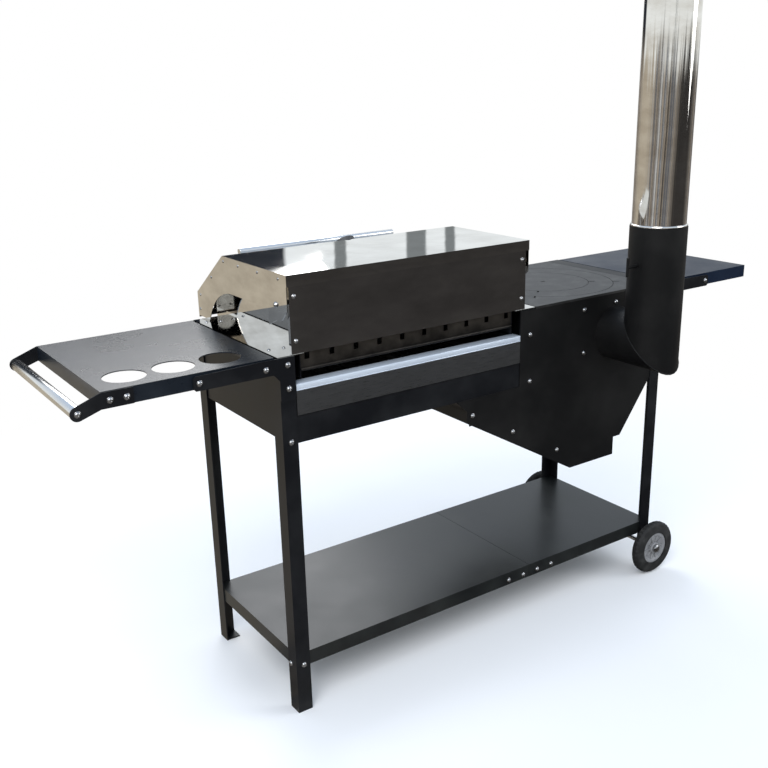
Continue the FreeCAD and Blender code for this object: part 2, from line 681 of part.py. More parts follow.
def dial_seat(out):
    """A point above the slope on the thermometer's axis."""
    return (
        "dial_x",
        f"lid_ridge + dial_drop * {NORMAL_Z} + ({out}) * {NORMAL_Y}",
        f"lid_top - dial_drop * {NORMAL_Y} + ({out}) * {NORMAL_Z}",
    )


def lid_end(end):
    """A lid end plate with an arched cut-out and a pivot ear."""
    inset = "thin_wall"
    at_x = "lid_left" if end == "left" else "hood_middle + lid_half - thin_wall"
    rise = f"{inset} * 0.55"
    outline = [
        ("lid_back + thin_wall", "lid_top - thin_wall"), (f"lid_ridge - {rise}", "lid_top - thin_wall"),
        ("lid_front - thin_wall", f"lid_knee - {rise}"), ("lid_front - thin_wall", "lid_end_bottom"),
        ("arch_front + arch_radius * 0.918", "lid_end_bottom"), ("arch_back + 60", "lid_end_bottom"),
        ("pivot_y", "arch_top - 19"), ("pivot_y - 20", "arch_top - 19"), ("pivot_y - 33", "arch_top - 5"),
        ("lid_back + thin_wall", "arch_top + 7"),
    ]
    panel = plate("yz", (at_x, "0", "0"), "thin_wall", outline)
    outside, inside = f"{at_x} - 1", f"{at_x} + thin_wall + 1"
    arch_centre = (outside, "arch_front", "arch_top - arch_radius")
    round_front = rod(arch_centre, "arch_radius", "thin_wall + 2", "+x")
    middle = slab((outside, "arch_back", "lid_end_bottom - 60"), (inside, "arch_front", "arch_top"))
    behind = slab((outside, "pivot_y + 34", "lid_end_bottom - 60"), (inside, "arch_back + 1", "arch_top - 1"))
    pivot_hole = rod((f"{at_x} - 1", "pivot_y", "pivot_z"), "bolt_radius + 0.06", "thin_wall + 2", "+x")
    return node(f"lid_end_{end}", cut(panel, round_front, middle, behind, pivot_hole))


def lid_pivots():
    """Bolts and spacers that carry the lid on the fixed wings."""
    pieces = []
    for way, outer, inner in (("+x", "lid_left - 0.3", "wing_left_x"),
                              ("-x", "hood_middle + lid_half + 0.3", "wing_right_x")):
        seat = (outer, "pivot_y", "pivot_z")
        grip = f"({inner}) - ({outer}) + thin_wall" if way == "+x" else f"({outer}) - ({inner}) + thin_wall"
        pin = bolt(seat, way, grip)
        gap = "thin_wall + 0.6"
        start = step(seat, way, gap)
        length = f"({grip}) - thin_wall - ({gap})"
        collar = rod(start, "bolt_radius * 2", length, way)
        pieces.append(fuse(pin, collar))
    return node("lid_pivots", group(*pieces))


def lid_fittings():
    """The lid's handle bar on two posts, and its thermometer."""
    bar_start = ("hood_middle - lid_grip_half", "lid_grip_y", "lid_grip_z")
    bar = rod(bar_start, "lid_grip_radius", "2 * lid_grip_half", "+x")
    posts = []
    for spot in grip_feet():
        shank = rod(spot, "screw_radius - 0.05", f"{GRIP_STAND} + 8", SLOPE_TURN)
        stem_start = (spot[0], f"{spot[1]} + 8 * {NORMAL_Y}", f"{spot[2]} + 8 * {NORMAL_Z}")
        stem = rod(stem_start, "screw_radius * 2.4", GRIP_STAND, SLOPE_TURN)
        posts += [shank, stem]
    node("lid_handle", fuse(bar, *posts))
    stem = rod(dial_seat("0 - 10"), "screw_radius - 0.05", "dial_stand + 12", SLOPE_TURN)
    neck = rod(dial_seat("0"), "screw_radius * 2.4", "dial_stand", SLOPE_TURN)
    dial = rod(dial_seat("dial_stand"), "dial_radius", "dial_thick", SLOPE_TURN)
    node("lid_thermometer", fuse(stem, neck, dial))


def cooking_grates():
    """Two lift-out grates of round bar that lie on the fire box's long walls."""
    bar_radius = "3"
    edge_radius = "4"
    left_start = f"wing_left_x + thin_wall + 6"
    right_end = f"wing_right_x - thin_wall - 6"
    for name, start, end in (
        ("left", left_start, "hood_middle - 3"), ("right", "hood_middle + 3", right_end),
    ):
        length = f"({end}) - ({start})"
        level = f"deck + {edge_radius} + 0.1"
        rails = [
            rod((start, place, level), edge_radius, length, "+x")
            for place in ("fire_wall + 1", "span_y - fire_wall - 1")
        ]
        bars = []
        count = 18
        for number in range(count):
            across = f"({start}) + 4 + ({length} - 8) * {number / (count - 1):.5f}"
            bars.append(rod((across, "fire_wall + 1", level), bar_radius, "span_y - 2 * fire_wall - 2", "+y"))
        node(f"cooking_grate_{name}", fuse(*rails, *bars))


# --- stove -------------------------------------------------------------------------------------
def stove_outline():
    """The stove's side view: fire chamber, long chute to the left and ash box at the bottom."""
    return [
        ("opening_right", "hob_low"), ("opening_right", "brazier_bottom"), ("hopper_tip", "brazier_bottom"),
        ("hopper_end", "hopper_step"), ("hopper_end", "hopper_low_end"), ("ash_left", "ash_floor"),
        ("ash_right", "ash_floor"), ("ash_right", "ash_roof"), ("hopper_right_foot", "ash_roof"),
        ("stove_right", "hopper_right_top"), ("stove_right", "hob_low"),
    ]


def stove():
    rear = plate("xz", ("0", "1", "0"), "sheet_wall", stove_outline())
    mouth = rod(("flue_x", "0 - 1", "flue_z"), "flue_radius - flue_wall", "6", "+y")
    wall_bolts = [*flue_bolts.values(), *chute_rivets.values(), lap_bolts["high"], lap_bolts["low"]]
    rear = cut(rear, mouth, *[bolt_hole(*spec) for spec in wall_bolts])
    node("stove_rear_wall", rear)

    front = plate("xz", ("0", "span_y - 3", "0"), "sheet_wall", stove_outline())
    doorway = slab(("door_left + door_lap", "span_y - 4", "door_low + door_lap"),
                   ("door_right - door_lap", "span_y", "door_high - door_lap"))
    ash_way = slab(("ash_left + 2", "span_y - 4", "ash_floor + sheet_wall"),
                   ("ash_right - sheet_wall", "span_y", "ash_roof - 1"))
    front = cut(front, doorway, ash_way, *[bolt_hole(*spec) for spec in of_side(lap_bolts, "front")])
    lugs = []
    for low in ("hinge_low", "hinge_high"):
        start = ("hinge_x", "hinge_y", f"{low} - knuckle_length - 0.5")
        ear = fuse(
            rod(start, "knuckle_radius", "knuckle_length"),
            box(("hinge_x", "span_y - 1", start[2]), ("26", "hinge_y - span_y + 1", "knuckle_length")),
        )
        pin = rod(start, "pin_radius", "2 * knuckle_length")
        lugs.append(fuse(ear, pin))
    node("stove_front_wall", fuse(front, *lugs))

    side = [
        ("ash_left + 4", "ash_floor"), ("ash_right", "ash_floor"), ("ash_right", "ash_roof"),
        ("hopper_right_foot", "ash_roof"), ("stove_right", "hopper_right_top"), ("stove_right", "hob_low"),
        ("stove_right - sheet_wall", "hob_low"), ("stove_right - sheet_wall", "hopper_right_top + 1"),
        ("hopper_right_foot - 1", "ash_roof + sheet_wall"), ("ash_right - sheet_wall", "ash_roof + sheet_wall"),
        ("ash_right - sheet_wall", "ash_floor + sheet_wall"), ("ash_left + 4", "ash_floor + sheet_wall"),
    ]
    node("stove_right_side", plate("xz", ("0", "3", "0"), "span_y - 6", side))

    slope = "(hopper_low_end - ash_floor) / (ash_left - hopper_end)"
    chute = [
        ("hopper_tip", "brazier_bottom"), ("hopper_end", "hopper_step"), ("hopper_end", "hopper_low_end"),
        ("ash_left", "ash_floor"), ("ash_left + 4", "ash_floor"),
        ("hopper_end + sheet_wall", f"hopper_low_end + {slope} * 2"),
        ("hopper_end + sheet_wall", "hopper_step + 1"), ("hopper_tip + 3", "brazier_bottom"),
    ]
    node("hopper_left", plate("xz", ("0", "3", "0"), "span_y - 6", chute))

    node("stove_edge_strip", slab(("hob_right + 1", "0", "deck"), ("edge_strip_right", "span_y", "worktop")))
    fire_grate()
    door()
    ash_drawer()


def fire_grate():
    """The cast grate under the fire, a frame with bars along X."""
    low = "grate_level"
    frame_outer = slab(("grate_left", "24", low), ("grate_right", "span_y - 24", "grate_level + grate_bar"))
    gaps = []
    count = DIMENSIONS["grate_bars"]
    pitch = f"((span_y - 48 - 2 * grate_bar) / {count})"
    for number in range(count):
        near = f"24 + grate_bar + {number} * {pitch}"
        for half in ("grate_left + grate_bar", "(grate_left + grate_right) / 2 + grate_bar / 2"):
            length = "(grate_right - grate_left) / 2 - grate_bar * 1.5"
            gaps.append(box((half, near, "grate_level - 1"), (length, f"{pitch} - grate_bar", "grate_bar + 2")))
    rests = [
        slab((left, "5", "grate_level - 3"), (right, "span_y - 5", "grate_level"))
        for left, right in (("grate_left - 10", "grate_left + 10"), ("grate_right - 10", "stove_right - 8"))
    ]
    return node("fire_grate", fuse(cut(frame_outer, *gaps), *rests))


def hob():
    """A steel hob plate with a lift-out ring and disc, each resting on a step."""
    low = "hob_low"
    step_z = "worktop - hob_step"
    centre = ("hob_x", "hob_y")

    def disc(radius, start, height):
        return rod((*centre, start), radius, height)

    slots = {
        "disc": [box(("hob_x - 7", "hob_y - slot_width / 2", low), ("14", "slot_width", "hob_thick + 1"))],
        "ring": [], "plate": [],
    }
    for owner, radius in (("ring", "disc_radius"), ("plate", "ring_radius")):
        for angle in (220, 320):
            turn = Rotation(Vector(0, 0, 1), angle)
            notch = new("Part::Box", "notch")
            notch.setExpression("Length", formula(f"{radius} + lift_slot"))
            notch.setExpression("Width", formula("slot_width"))
            notch.setExpression("Height", formula("hob_step + 1"))
            slots[owner].append(put(notch, (*centre, step_z), turn))
    hob_plate = slab(("hob_left", "0", low), ("hob_right", "span_y", "worktop"))
    node("hob_plate", cut(hob_plate, disc("ring_radius + ring_gap", step_z, "hob_step + 1"),
                          disc("ring_radius - hob_ledge", f"{low} - 1", "hob_thick"), *slots["plate"]))
    ring = fuse(disc("ring_radius", step_z, "hob_step"),
                disc("ring_radius - hob_ledge - ring_gap", low, "hob_step"))
    node("hob_ring", cut(ring, disc("disc_radius + ring_gap", step_z, "hob_step + 1"),
                         disc("disc_radius - hob_ledge", f"{low} - 1", "hob_thick"), *slots["ring"]))
    lid_disc = fuse(disc("disc_radius", step_z, "hob_step"),
                    disc("disc_radius - hob_ledge - ring_gap", low, "hob_step"))
    node("hob_disc", cut(lid_disc, *slots["disc"]))


def door():
    """The fire door with its hinge knuckles and a bent handle."""
    seat = "span_y - 1 + 0.5"
    leaf = slab(("door_left", seat, "door_low"), ("door_right", f"{seat} + door_wall", "door_high"))
    pieces = [leaf]
    for low in ("hinge_low", "hinge_high"):
        pieces.append(rod(("hinge_x", "hinge_y", low), "knuckle_radius", "knuckle_length"))
        strap = ("hinge_x - door_right + 12", "hinge_y + knuckle_radius - span_y - 2.5", "knuckle_length")
        pieces.append(box(("door_right - 12", f"{seat} + door_wall", low), strap))
    for height in ("(door_low + door_high) / 2 - 40", "(door_low + door_high) / 2 + 40"):
        pieces.append(rod(("door_left + 22", f"{seat} + door_wall", height), "5", "26", "+y"))
    grip_start = ("door_left + 22", f"{seat} + door_wall + 22", "(door_low + door_high) / 2 - 48")
    pieces.append(rod(grip_start, "6", "96"))
    bores = [rod(("hinge_x", "hinge_y", f"{low} - 1"), "pin_radius + 0.08", "knuckle_length + 2")
             for low in ("hinge_low", "hinge_high")]
    node("stove_door", cut(fuse(*pieces), *bores))


def ash_drawer():
    """The ash drawer under the stove, pulled out to the front."""
    left, right = "ash_left + 5", "ash_right - sheet_wall - 2"
    low, high = "ash_floor + sheet_wall + 0.5", "ash_roof - 4"
    outer = slab((left, "6", low), (right, "span_y - 0.5", high))
    hollow = slab((f"{left} + sheet_wall", "6 + sheet_wall", f"{low} + sheet_wall"),
                  (f"{right} - sheet_wall", "span_y - 0.5 - sheet_wall", f"{high} + 1"))
    face = slab(
        ("ash_left - 6", "span_y - 0.5", "ash_floor - 2"),
        ("ash_right + 6", "span_y + 1.5", "ash_roof + 6"))
    posts = [rod((across, "span_y + 1.5", "(ash_floor + ash_roof) / 2"), "4", "22", "+y")
             for across in ("ash_left + 50", "ash_right - 50")]
    bar_start = ("ash_left + 44", "span_y + 21", "(ash_floor + ash_roof) / 2")
    bar = rod(bar_start, "5", "ash_right - ash_left - 88", "+x")
    node("ash_drawer", fuse(cut(outer, hollow), face, *posts, bar))


# --- flue --------------------------------------------------------------------------------------
def mitre_half(radius, extra, keep_upright):
    """A square-cut block that leaves one side of the elbow's 45 degree mitre."""
    size = 700
    block = new("Part::Box", "mitre")
    block.Length = size
    block.Width = size
    block.Height = size
    turn = Rotation(Vector(1, 0, 0), 45)
    if keep_upright:
        turn = turn.multiply(Rotation(Vector(1, 0, 0), 180))
    half = size / 2
    corner = turn.multVec(Vector(-half, -half, 0))
    put(block, (f"flue_x + ({corner.x})", f"({corner.y}) - flue_out", f"flue_z + ({corner.z})"), turn)
    return block


def elbow_core(radius):
    """The elbow as a solid bar of one radius, both legs cut on the mitre."""
    below = ("flue_x", "0 - flue_out", "flue_z - 2 * flue_radius")
    upright = rod(below, radius, "sleeve_top - flue_z + 2 * flue_radius")
    behind = ("flue_x", "0 - flue_out - 2 * flue_radius", "flue_z")
    level = rod(behind, radius, "flue_out + 2 * flue_radius + 1", "+y")
    return fuse(cut(upright, mitre_half(radius, 0, True)), cut(level, mitre_half(radius, 0, False)))


def chimney():
    """The welded flue elbow, its damper, and the bright pipe that lifts out of it."""
    outer = elbow_core("flue_radius")
    inner = elbow_core("flue_radius - flue_wall")
    spindle_start = ("flue_x - flue_radius - damper_reach", "0 - flue_out", "damper_z")
    spindle_hole = rod(("flue_x - flue_radius - 5", "0 - flue_out", "damper_z"), "spindle_radius + 0.08",
                       "2 * flue_radius + 10", "+x")
    node("flue_elbow", cut(outer, inner, spindle_hole))
    spindle = rod(spindle_start, "spindle_radius", "2 * flue_radius + damper_reach + knob_reach + 9", "+x")
    grip_start = ("flue_x - flue_radius - damper_reach", "0 - flue_out", "damper_z - damper_grip / 2")
    grip = rod(grip_start, "3.5", "damper_grip")
    nut = rod(("flue_x + flue_radius + knob_reach", "0 - flue_out", "damper_z"), "8", "7", "+x")
    flap = rod(("flue_x", "0 - flue_out - 4.5 - thin_wall", "damper_z"), "damper_radius", "thin_wall", "+y")
    blocks = [box((across, "0 - flue_out - 4.5", "damper_z - 6"), ("14", "5", "12"))
              for across in ("flue_x - 37", "flue_x + 23")]
    node("damper_spindle", cut(fuse(spindle, grip, nut, *blocks), flap_bed()))
    node("damper_flap", flap)
    pipe = fuse(
        rod(("flue_x", "0 - flue_out", "pipe_bottom"), "pipe_radius", "pipe_top - pipe_bottom"),
        rod(("flue_x", "0 - flue_out", "sleeve_top"), "bead_radius", "bead_height"),
        rod(("flue_x", "0 - flue_out", "pipe_top - bead_height"), "bead_radius", "bead_height"),
    )
    bore_start = ("flue_x", "0 - flue_out", "pipe_bottom - 1")
    bore = rod(bore_start, "pipe_radius - pipe_wall", "pipe_top - pipe_bottom + 2")
    node("chimney_pipe", cut(pipe, bore))


def flap_bed():
    """The space behind the spindle's blocks, where the flap lies."""
    return slab(
        ("flue_x - 60", "0 - flue_out - 12", "damper_z - 60"),
        ("flue_x + 60", "0 - flue_out - 4.5", "damper_z + 60"))


# --- side tables -------------------------------------------------------------------------------
def arm(side, end):
    """A fixed table arm: a lug on the leg and a bar under the table's side."""
    left = end == "left"
    sign, root = ("-", "0") if left else ("+", "span_x")
    inner = "leg_width" if left else "span_x - leg_width"
    tip = "lug_tip_left" if left else "lug_tip_right"
    outline = [
        (inner, "deck"), (inner, "lug_low + 3"), (f"{inner} {sign} 3", "lug_low"),
        (f"{root} {'+' if left else '-'} 3", "lug_low"),
        (root, "lug_low + 3"), (root, "arm_low - 15"), (f"{root} {sign} 14", "arm_low"),
        (f"{tip} {'+' if left else '-'} 5", "arm_low"), (tip, "arm_low + 5"), (tip, "arm_tip_high - 5"),
        (f"{tip} {'+' if left else '-'} 5", "arm_tip_high"), (f"{root} {sign} 40", "deck"),
    ]
    at_y = "0 - arm_wall" if side == "rear" else "span_y"
    bar = plate("xz", ("0", at_y, "0"), "arm_wall", outline)
    key = f"{side}_{end}"
    holes = of_side(lug_bolts, key) + [table_pivots[key], tip_bolts[key]]
    return node(f"arm_{key}", drilled(bar, holes))


def table(end):
    """A drop-side table: a shallow tray turned upside down."""
    left = end == "left"
    if left:
        low_x, high_x = "left_table_end", "0 - table_inner"
    else:
        low_x, high_x = "span_x + table_inner + 1", "right_table_end"
    low = (low_x, "table_side", "worktop - table_rim")
    high = (high_x, "span_y - table_side", "worktop")
    hollow_low = (f"{low_x} + sheet_wall", "table_side + sheet_wall", "worktop - table_rim - 1")
    hollow_high = (f"{high_x} - sheet_wall", "span_y - table_side - sheet_wall", "worktop - sheet_wall")
    tools = [slab(hollow_low, hollow_high)]
    pivot = "pivot_left" if left else "pivot_right"
    tools.append(rod((pivot, "0 - 5", "pivot_height"), "bolt_radius + pivot_play", "span_y + 10", "+y"))
    if left:
        for number in range(3):
            across = f"left_table_end + cup_first + {number} * cup_pitch"
            tools.append(rod((across, "cup_y", "worktop - 10"), "cup_radius", "20"))
        tools += [bolt_hole(*spec) for spec in bracket_bolts()]
    else:
        for place in rail_feet():
            foot = ("right_table_end - 5", place, "worktop - rail_drop + 6")
            tools.append(rod(foot, "rail_radius + 0.1", "10", "+x"))
    node(f"{end}_table_top", cut(slab(low, high), *tools))


def bracket_bolts():
    """Bolts that hold the push handle's brackets on the table's rim."""
    specs = []
    for across in ("left_table_end + 16", "left_table_end + 48"):
        rear_seat = (across, "table_side - bracket_wall", "worktop - 18")
        front_seat = (across, "span_y - table_side + bracket_wall", "worktop - 18")
        specs.append((rear_seat, "+y", "bracket_wall + sheet_wall"))
        specs.append((front_seat, "-y", "bracket_wall + sheet_wall"))
    return specs


def push_handle():
    """A polished tube between two brackets at the left table's end."""
    outline = [
        ("left_table_end + bracket_back", "worktop - table_rim"),
        ("left_table_end + bracket_back", "worktop - 1"), ("left_table_end", "worktop - 1"),
        ("grip_x - 0.35 * bracket_radius", "grip_z + 0.937 * bracket_radius"),
        ("grip_x + 0.31 * bracket_radius", "grip_z - 0.951 * bracket_radius"),
        ("left_table_end - 2", "worktop - table_rim"),
    ]
    inner_rear, inner_front = "table_side", "span_y - table_side"
    ends = {"rear": ("table_side - bracket_wall", "+y"), "front": (inner_front, "-y")}
    screws = []
    brackets = []
    for side, (at_y, way) in ends.items():
        outer = at_y if side == "rear" else f"{inner_front} + bracket_wall"
        blank = fuse(
            plate("xz", ("0", at_y, "0"), "bracket_wall", outline),
            rod(("grip_x", at_y, "grip_z"), "bracket_radius", "bracket_wall", "+y"),
        )
        end_bolt = (("grip_x", outer, "grip_z"), way, "bracket_wall + 12")
        screws.append(bolt(*end_bolt, nut=False))
        holes = [spec for spec in bracket_bolts() if spec[1] == way] + [end_bolt]
        brackets.append(drilled(blank, holes))
    node("handle_brackets", group(*brackets))
    solid = rod(("grip_x", inner_rear, "grip_z"), "grip_radius", "table_depth", "+y")
    hollow_start = ("grip_x", f"{inner_rear} + 20", "grip_z")
    hollow = rod(hollow_start, "grip_radius - grip_wall", "table_depth - 40", "+y")
    sockets = [rod(("grip_x", place, "grip_z"), "bolt_radius + bolt_play", "18", "+y")
               for place in (f"{inner_rear} - 1", f"{inner_front} - 17")]
    node("push_handle", cut(solid, hollow, *sockets))
    screws += [bolt(*spec) for spec in bracket_bolts()]
    node("handle_bolts", group(*screws))


def rail_feet():
    return ["table_side + rail_inset", "span_y - table_side - rail_inset"]


def hook_rail():
    """A small hanging rail on the right table's end."""
    height = "worktop - rail_drop + 6"
    feet = [
        rod(("right_table_end - 4", place, height), "rail_radius", "rail_reach + 4", "+x")
        for place in rail_feet()
    ]
    bar = rod(("right_table_end + rail_reach", "table_side + rail_inset - 20", height), "rail_radius",
              "table_depth - 2 * rail_inset + 40", "+y")
    node("hook_rail", fuse(bar, *feet))


def fasteners(joiners):
    """Every bolt of the frame and every small screw of the hood."""
    specs = []
    for bolts in (lug_bolts, shelf_bolts, shelf_side_bolts, floor_bolts, table_pivots, lap_bolts, flue_bolts,
                  chute_rivets, tip_bolts):
        specs += [(name, *spec) for name, spec in bolts.items()]
    pieces = []
    for name, seat, way, grip in specs:
        walls = grip
        if "left" in name and ("high" in name or "low" in name):
            walls = f"({grip}) + sheet_wall"
        flat = seat[1] in (REAR_SEAT, FRONT_SEAT) and grip == "arm_wall"
        pieces.append(thin_bolt(seat, way, walls) if flat else bolt(seat, way, walls))
    pieces += [bolt(*spec) for spec in joiners]
    node("frame_bolts", group(*pieces))
    small = [spec for end in ("left", "right") for spec in base_screws(end) + panel_screws(end)]
    node("hood_screws", group(*[screw(seat, way, f"({grip}) + 3") for seat, way, grip in small]))


def thin_bolt(seat, way, grip):
    """A bolt whose shank ends just inside the arm, clear of the table's rim."""
    return fuse(
        cone(seat, "bolt_head", "bolt_head * 0.55", "bolt_head_height", opposite(way)),
        rod(seat, "bolt_radius", f"{grip} + 2.5", way),
        rod(step(seat, way, grip), "nut_radius * 0.9", "2.5", way),
    )


# --- the whole cart ----------------------------------------------------------------------------
def build():
    joiners = frame()
    wheels()
    brazier()
    charcoal_drawer()
    for end in ("left", "right"):
        wing(end)
        lid_end(end)
        table(end)
        for side in ("rear", "front"):
            arm(side, end)
    rear_panel()
    lid_skin()
    lid_pivots()
    lid_fittings()
    cooking_grates()
    stove()
    hob()
    chimney()
    push_handle()
    hook_rail()
    fasteners(joiners)


def check_and_export():
    """Stop on any failed object, then write one file for each sub-part."""
    sheet.clear(SPARE_CELL)
    doc.recompute()
    for thing in doc.Objects:
        if "Invalid" in thing.State or "Error" in thing.State:
            raise RuntimeError(f"{thing.Name} ({thing.Label}) failed: {thing.State}")
    os.makedirs("parts", exist_ok=True)
    for name, piece in nodes.items():
        shape = piece.Shape
        if piece.Label != name:
            raise RuntimeError(f"{name} has the label {piece.Label}")
        if shape.isNull() or not shape.isValid() or not shape.Solids:
            raise RuntimeError(f"{name} has no valid solid")
        shape.exportStep(f"parts/{name}.step")
    print(len(nodes), "sub-parts")


build()
check_and_export()
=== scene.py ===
"""Looks for the wheeled barbecue cart: finishes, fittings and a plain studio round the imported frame."""

import math

import bmesh
import bpy
from mathutils import Matrix, Vector


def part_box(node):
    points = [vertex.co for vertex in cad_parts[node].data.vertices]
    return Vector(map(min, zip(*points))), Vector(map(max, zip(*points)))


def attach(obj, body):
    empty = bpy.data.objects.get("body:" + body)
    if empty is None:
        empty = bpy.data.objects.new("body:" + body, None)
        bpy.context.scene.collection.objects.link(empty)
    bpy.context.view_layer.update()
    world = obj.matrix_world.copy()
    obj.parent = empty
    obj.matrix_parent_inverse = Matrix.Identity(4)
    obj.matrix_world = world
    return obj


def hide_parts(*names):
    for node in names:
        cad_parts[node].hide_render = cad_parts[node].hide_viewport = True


bl_info = {
    "name": "Barbecue Cart Looks",
    "version": (1, 0, 0),
    "blender": (4, 5, 0),
    "location": "View3D > Sidebar > Barbecue Cart",
    "description": "Builds the finishes and the fittings of a wheeled barbecue cart",
    "category": "Object",
}

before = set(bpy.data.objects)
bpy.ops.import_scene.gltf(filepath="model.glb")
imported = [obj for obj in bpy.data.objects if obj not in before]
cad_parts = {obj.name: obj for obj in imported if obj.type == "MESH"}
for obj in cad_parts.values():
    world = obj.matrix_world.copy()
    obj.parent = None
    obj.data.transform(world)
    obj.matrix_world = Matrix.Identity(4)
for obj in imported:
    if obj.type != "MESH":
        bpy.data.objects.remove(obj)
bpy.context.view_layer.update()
MM = 0.001

# The rear left leg's outer corner on the floor, from which the cart's own lengths are counted.
LEG_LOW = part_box("leg_rear_left")[0]
DATUM = Vector((LEG_LOW[0], LEG_LOW[1], 0.0))
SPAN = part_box("leg_rear_right")[1][0] - LEG_LOW[0]
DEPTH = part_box("leg_front_left")[1][1] - LEG_LOW[1]


def spot(x, y, z):
    """A point of the cart, given in millimetres from the rear left leg's foot."""
    return DATUM + Vector((x, y, z)) * MM


def sized(points):
    """A profile given in millimetres, in metres."""
    return [(across * MM, up * MM) for across, up in points]


def corners(node):
    """A node's lowest and highest corners."""
    return tuple(Vector(corner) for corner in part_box(node))


# --- wiring of finishes ------------------------------------------------------------------------
class Wire:
    """A socket that takes part in sums; each sum adds a Math node."""

    def __init__(self, finish, socket):
        self.finish = finish
        self.socket = socket

    def _sum(self, operation, first, second):
        return self.finish.add("ShaderNodeMath", {"operation": operation}, {0: first, 1: second})

    def __add__(self, other):
        return self._sum("ADD", self, other)

    def __radd__(self, other):
        return self._sum("ADD", other, self)

    def __sub__(self, other):
        return self._sum("SUBTRACT", self, other)

    def __rsub__(self, other):
        return self._sum("SUBTRACT", other, self)

    def __mul__(self, other):
        return self._sum("MULTIPLY", self, other)

    def __rmul__(self, other):
        return self._sum("MULTIPLY", other, self)


class Finish:
    """A procedural finish being wired on one node tree."""

    def __init__(self, tree):
        self.tree = tree
        tree.nodes.clear()

    def add(self, kind, settings=None, inputs=None, output=0):
        """Add a node: its settings first, then the values or wires of its sockets."""
        node = self.tree.nodes.new(kind)
        for key, setting in (settings or {}).items():
            setattr(node, key, setting)
        for key, given in (inputs or {}).items():
            if isinstance(given, Wire):
                self.tree.links.new(given.socket, node.inputs[key])
            else:
                node.inputs[key].default_value = given
        return Wire(self, node.outputs[output]) if node.outputs else None

    def place(self):
        """Object coordinates."""
        return self.add("ShaderNodeTexCoord", output=3)

    def stretched(self, scale):
        """Object coordinates, scaled by axis."""
        return self.add("ShaderNodeMapping", inputs={0: self.place(), 3: scale})

    def noise(self, size, detail=3.0, rough=0.5, at=None):
        """A noise from 0 to 1 whose lumps are about size metres across."""
        given = {"Vector": at or self.place(), "Scale": 1.0 / size, "Detail": detail, "Roughness": rough}
        return self.add("ShaderNodeTexNoise", inputs=given)

    def range(self, value, low, high, to_low=0.0, to_high=1.0):
        """Stretch a value from one range to another, without leaving it."""
        return self.add("ShaderNodeMapRange", {"clamp": True},
                        {0: value, 1: low, 2: high, 3: to_low, 4: to_high})

    def size(self, value):
        """A value without its sign."""
        return self.add("ShaderNodeMath", {"operation": "ABSOLUTE"}, {0: value})

    def tint(self, factor, first, second):
        """Mix two colours."""
        given = {0: factor, 6: self._colour(first), 7: self._colour(second)}
        return self.add("ShaderNodeMix", {"data_type": "RGBA"}, given, output=2)

    @staticmethod
    def _colour(given):
        return given if isinstance(given, Wire) else (*given[:3], 1.0)

    def bump(self, height, strength, distance):
        """A bumped normal from a height."""
        given = {"Height": height, "Strength": strength, "Distance": distance}
        return self.add("ShaderNodeBump", inputs=given)

    def axis(self, name, vector=None):
        """One coordinate of a vector."""
        split = self.tree.nodes.new("ShaderNodeSeparateXYZ")
        self.tree.links.new((vector or self.place()).socket, split.inputs[0])
        return Wire(self, split.outputs["XYZ".index(name)])

    def shade(self, **sockets):
        """The surface shader and the output."""
        given = {name.replace("_", " "): value for name, value in sockets.items()}
        surface = self.add("ShaderNodeBsdfPrincipled", inputs=given)
        self.add("ShaderNodeOutputMaterial", inputs={"Surface": surface})


def new_finish(name):
    """A fresh material and the finish that wires it."""
    material = bpy.data.materials.new(name)
    material.use_nodes = True
    return material, Finish(material.node_tree)


def black_coat(name, colour, dust, roughness, grain=0.0011, coat=0.03, shine=0.18):
    """Black powder coat: fine orange peel, faint dust and hand marks."""
    material, paint = new_finish(name)
    marks = paint.noise(0.16, 4.0, 0.6)
    specks = paint.noise(0.004, 2.0, 0.7)
    veil = paint.range(marks, 0.42, 0.72) * 0.7 + paint.range(specks, 0.66, 0.8) * 0.3
    base = paint.tint(veil, colour, dust)
    gloss = paint.range(marks, 0.3, 0.75, roughness, roughness + 0.13)
    peel = paint.noise(grain, 2.0, 0.5)
    paint.shade(Base_Color=base, Roughness=gloss, Specular_IOR_Level=shine, Coat_Weight=coat,
                Coat_Roughness=0.18, Normal=paint.bump(peel, 0.12, 0.0004))
    return material


def mirror_steel(name, light, shade, roughness, waves):
    """Polished sheet: faint waves in the sheet, wipe marks and a few hairlines."""
    material, steel = new_finish(name)
    wipe = steel.noise(0.09, 4.0, 0.55, steel.stretched((1.0, 1.0, 2.2)))
    hairs = steel.noise(0.0016, 2.0, 0.6, steel.stretched((0.04, 0.04, 1.0)))
    base = steel.tint(steel.range(wipe, 0.35, 0.7), light, shade)
    wiped = steel.range(wipe, 0.35, 0.75, roughness, roughness + 0.03)
    gloss = wiped + steel.range(hairs, 0.62, 0.8) * 0.03
    sheet = steel.noise(0.11, 1.0, 0.3)
    steel.shade(Base_Color=base, Metallic=1.0, Roughness=gloss, Normal=steel.bump(sheet, waves, 0.004))
    return material


def brushed_steel(name, light, shade, along=(0.02, 1.0, 1.0), roughness=0.3, metal=1.0):
    """Brushed sheet with its grain along one axis."""
    material, steel = new_finish(name)
    grain = steel.noise(0.0006, 3.0, 0.65, steel.stretched(along))
    cloud = steel.noise(0.12, 3.0, 0.5)
    bright = steel.range(grain, 0.3, 0.7) * 0.6 + steel.range(cloud, 0.35, 0.7) * 0.4
    base = steel.tint(bright, shade, light)
    gloss = steel.range(grain, 0.25, 0.75, roughness - 0.06, roughness + 0.1)
    steel.shade(Base_Color=base, Metallic=metal, Roughness=gloss, Normal=steel.bump(grain, 0.08, 0.0003))
    return material


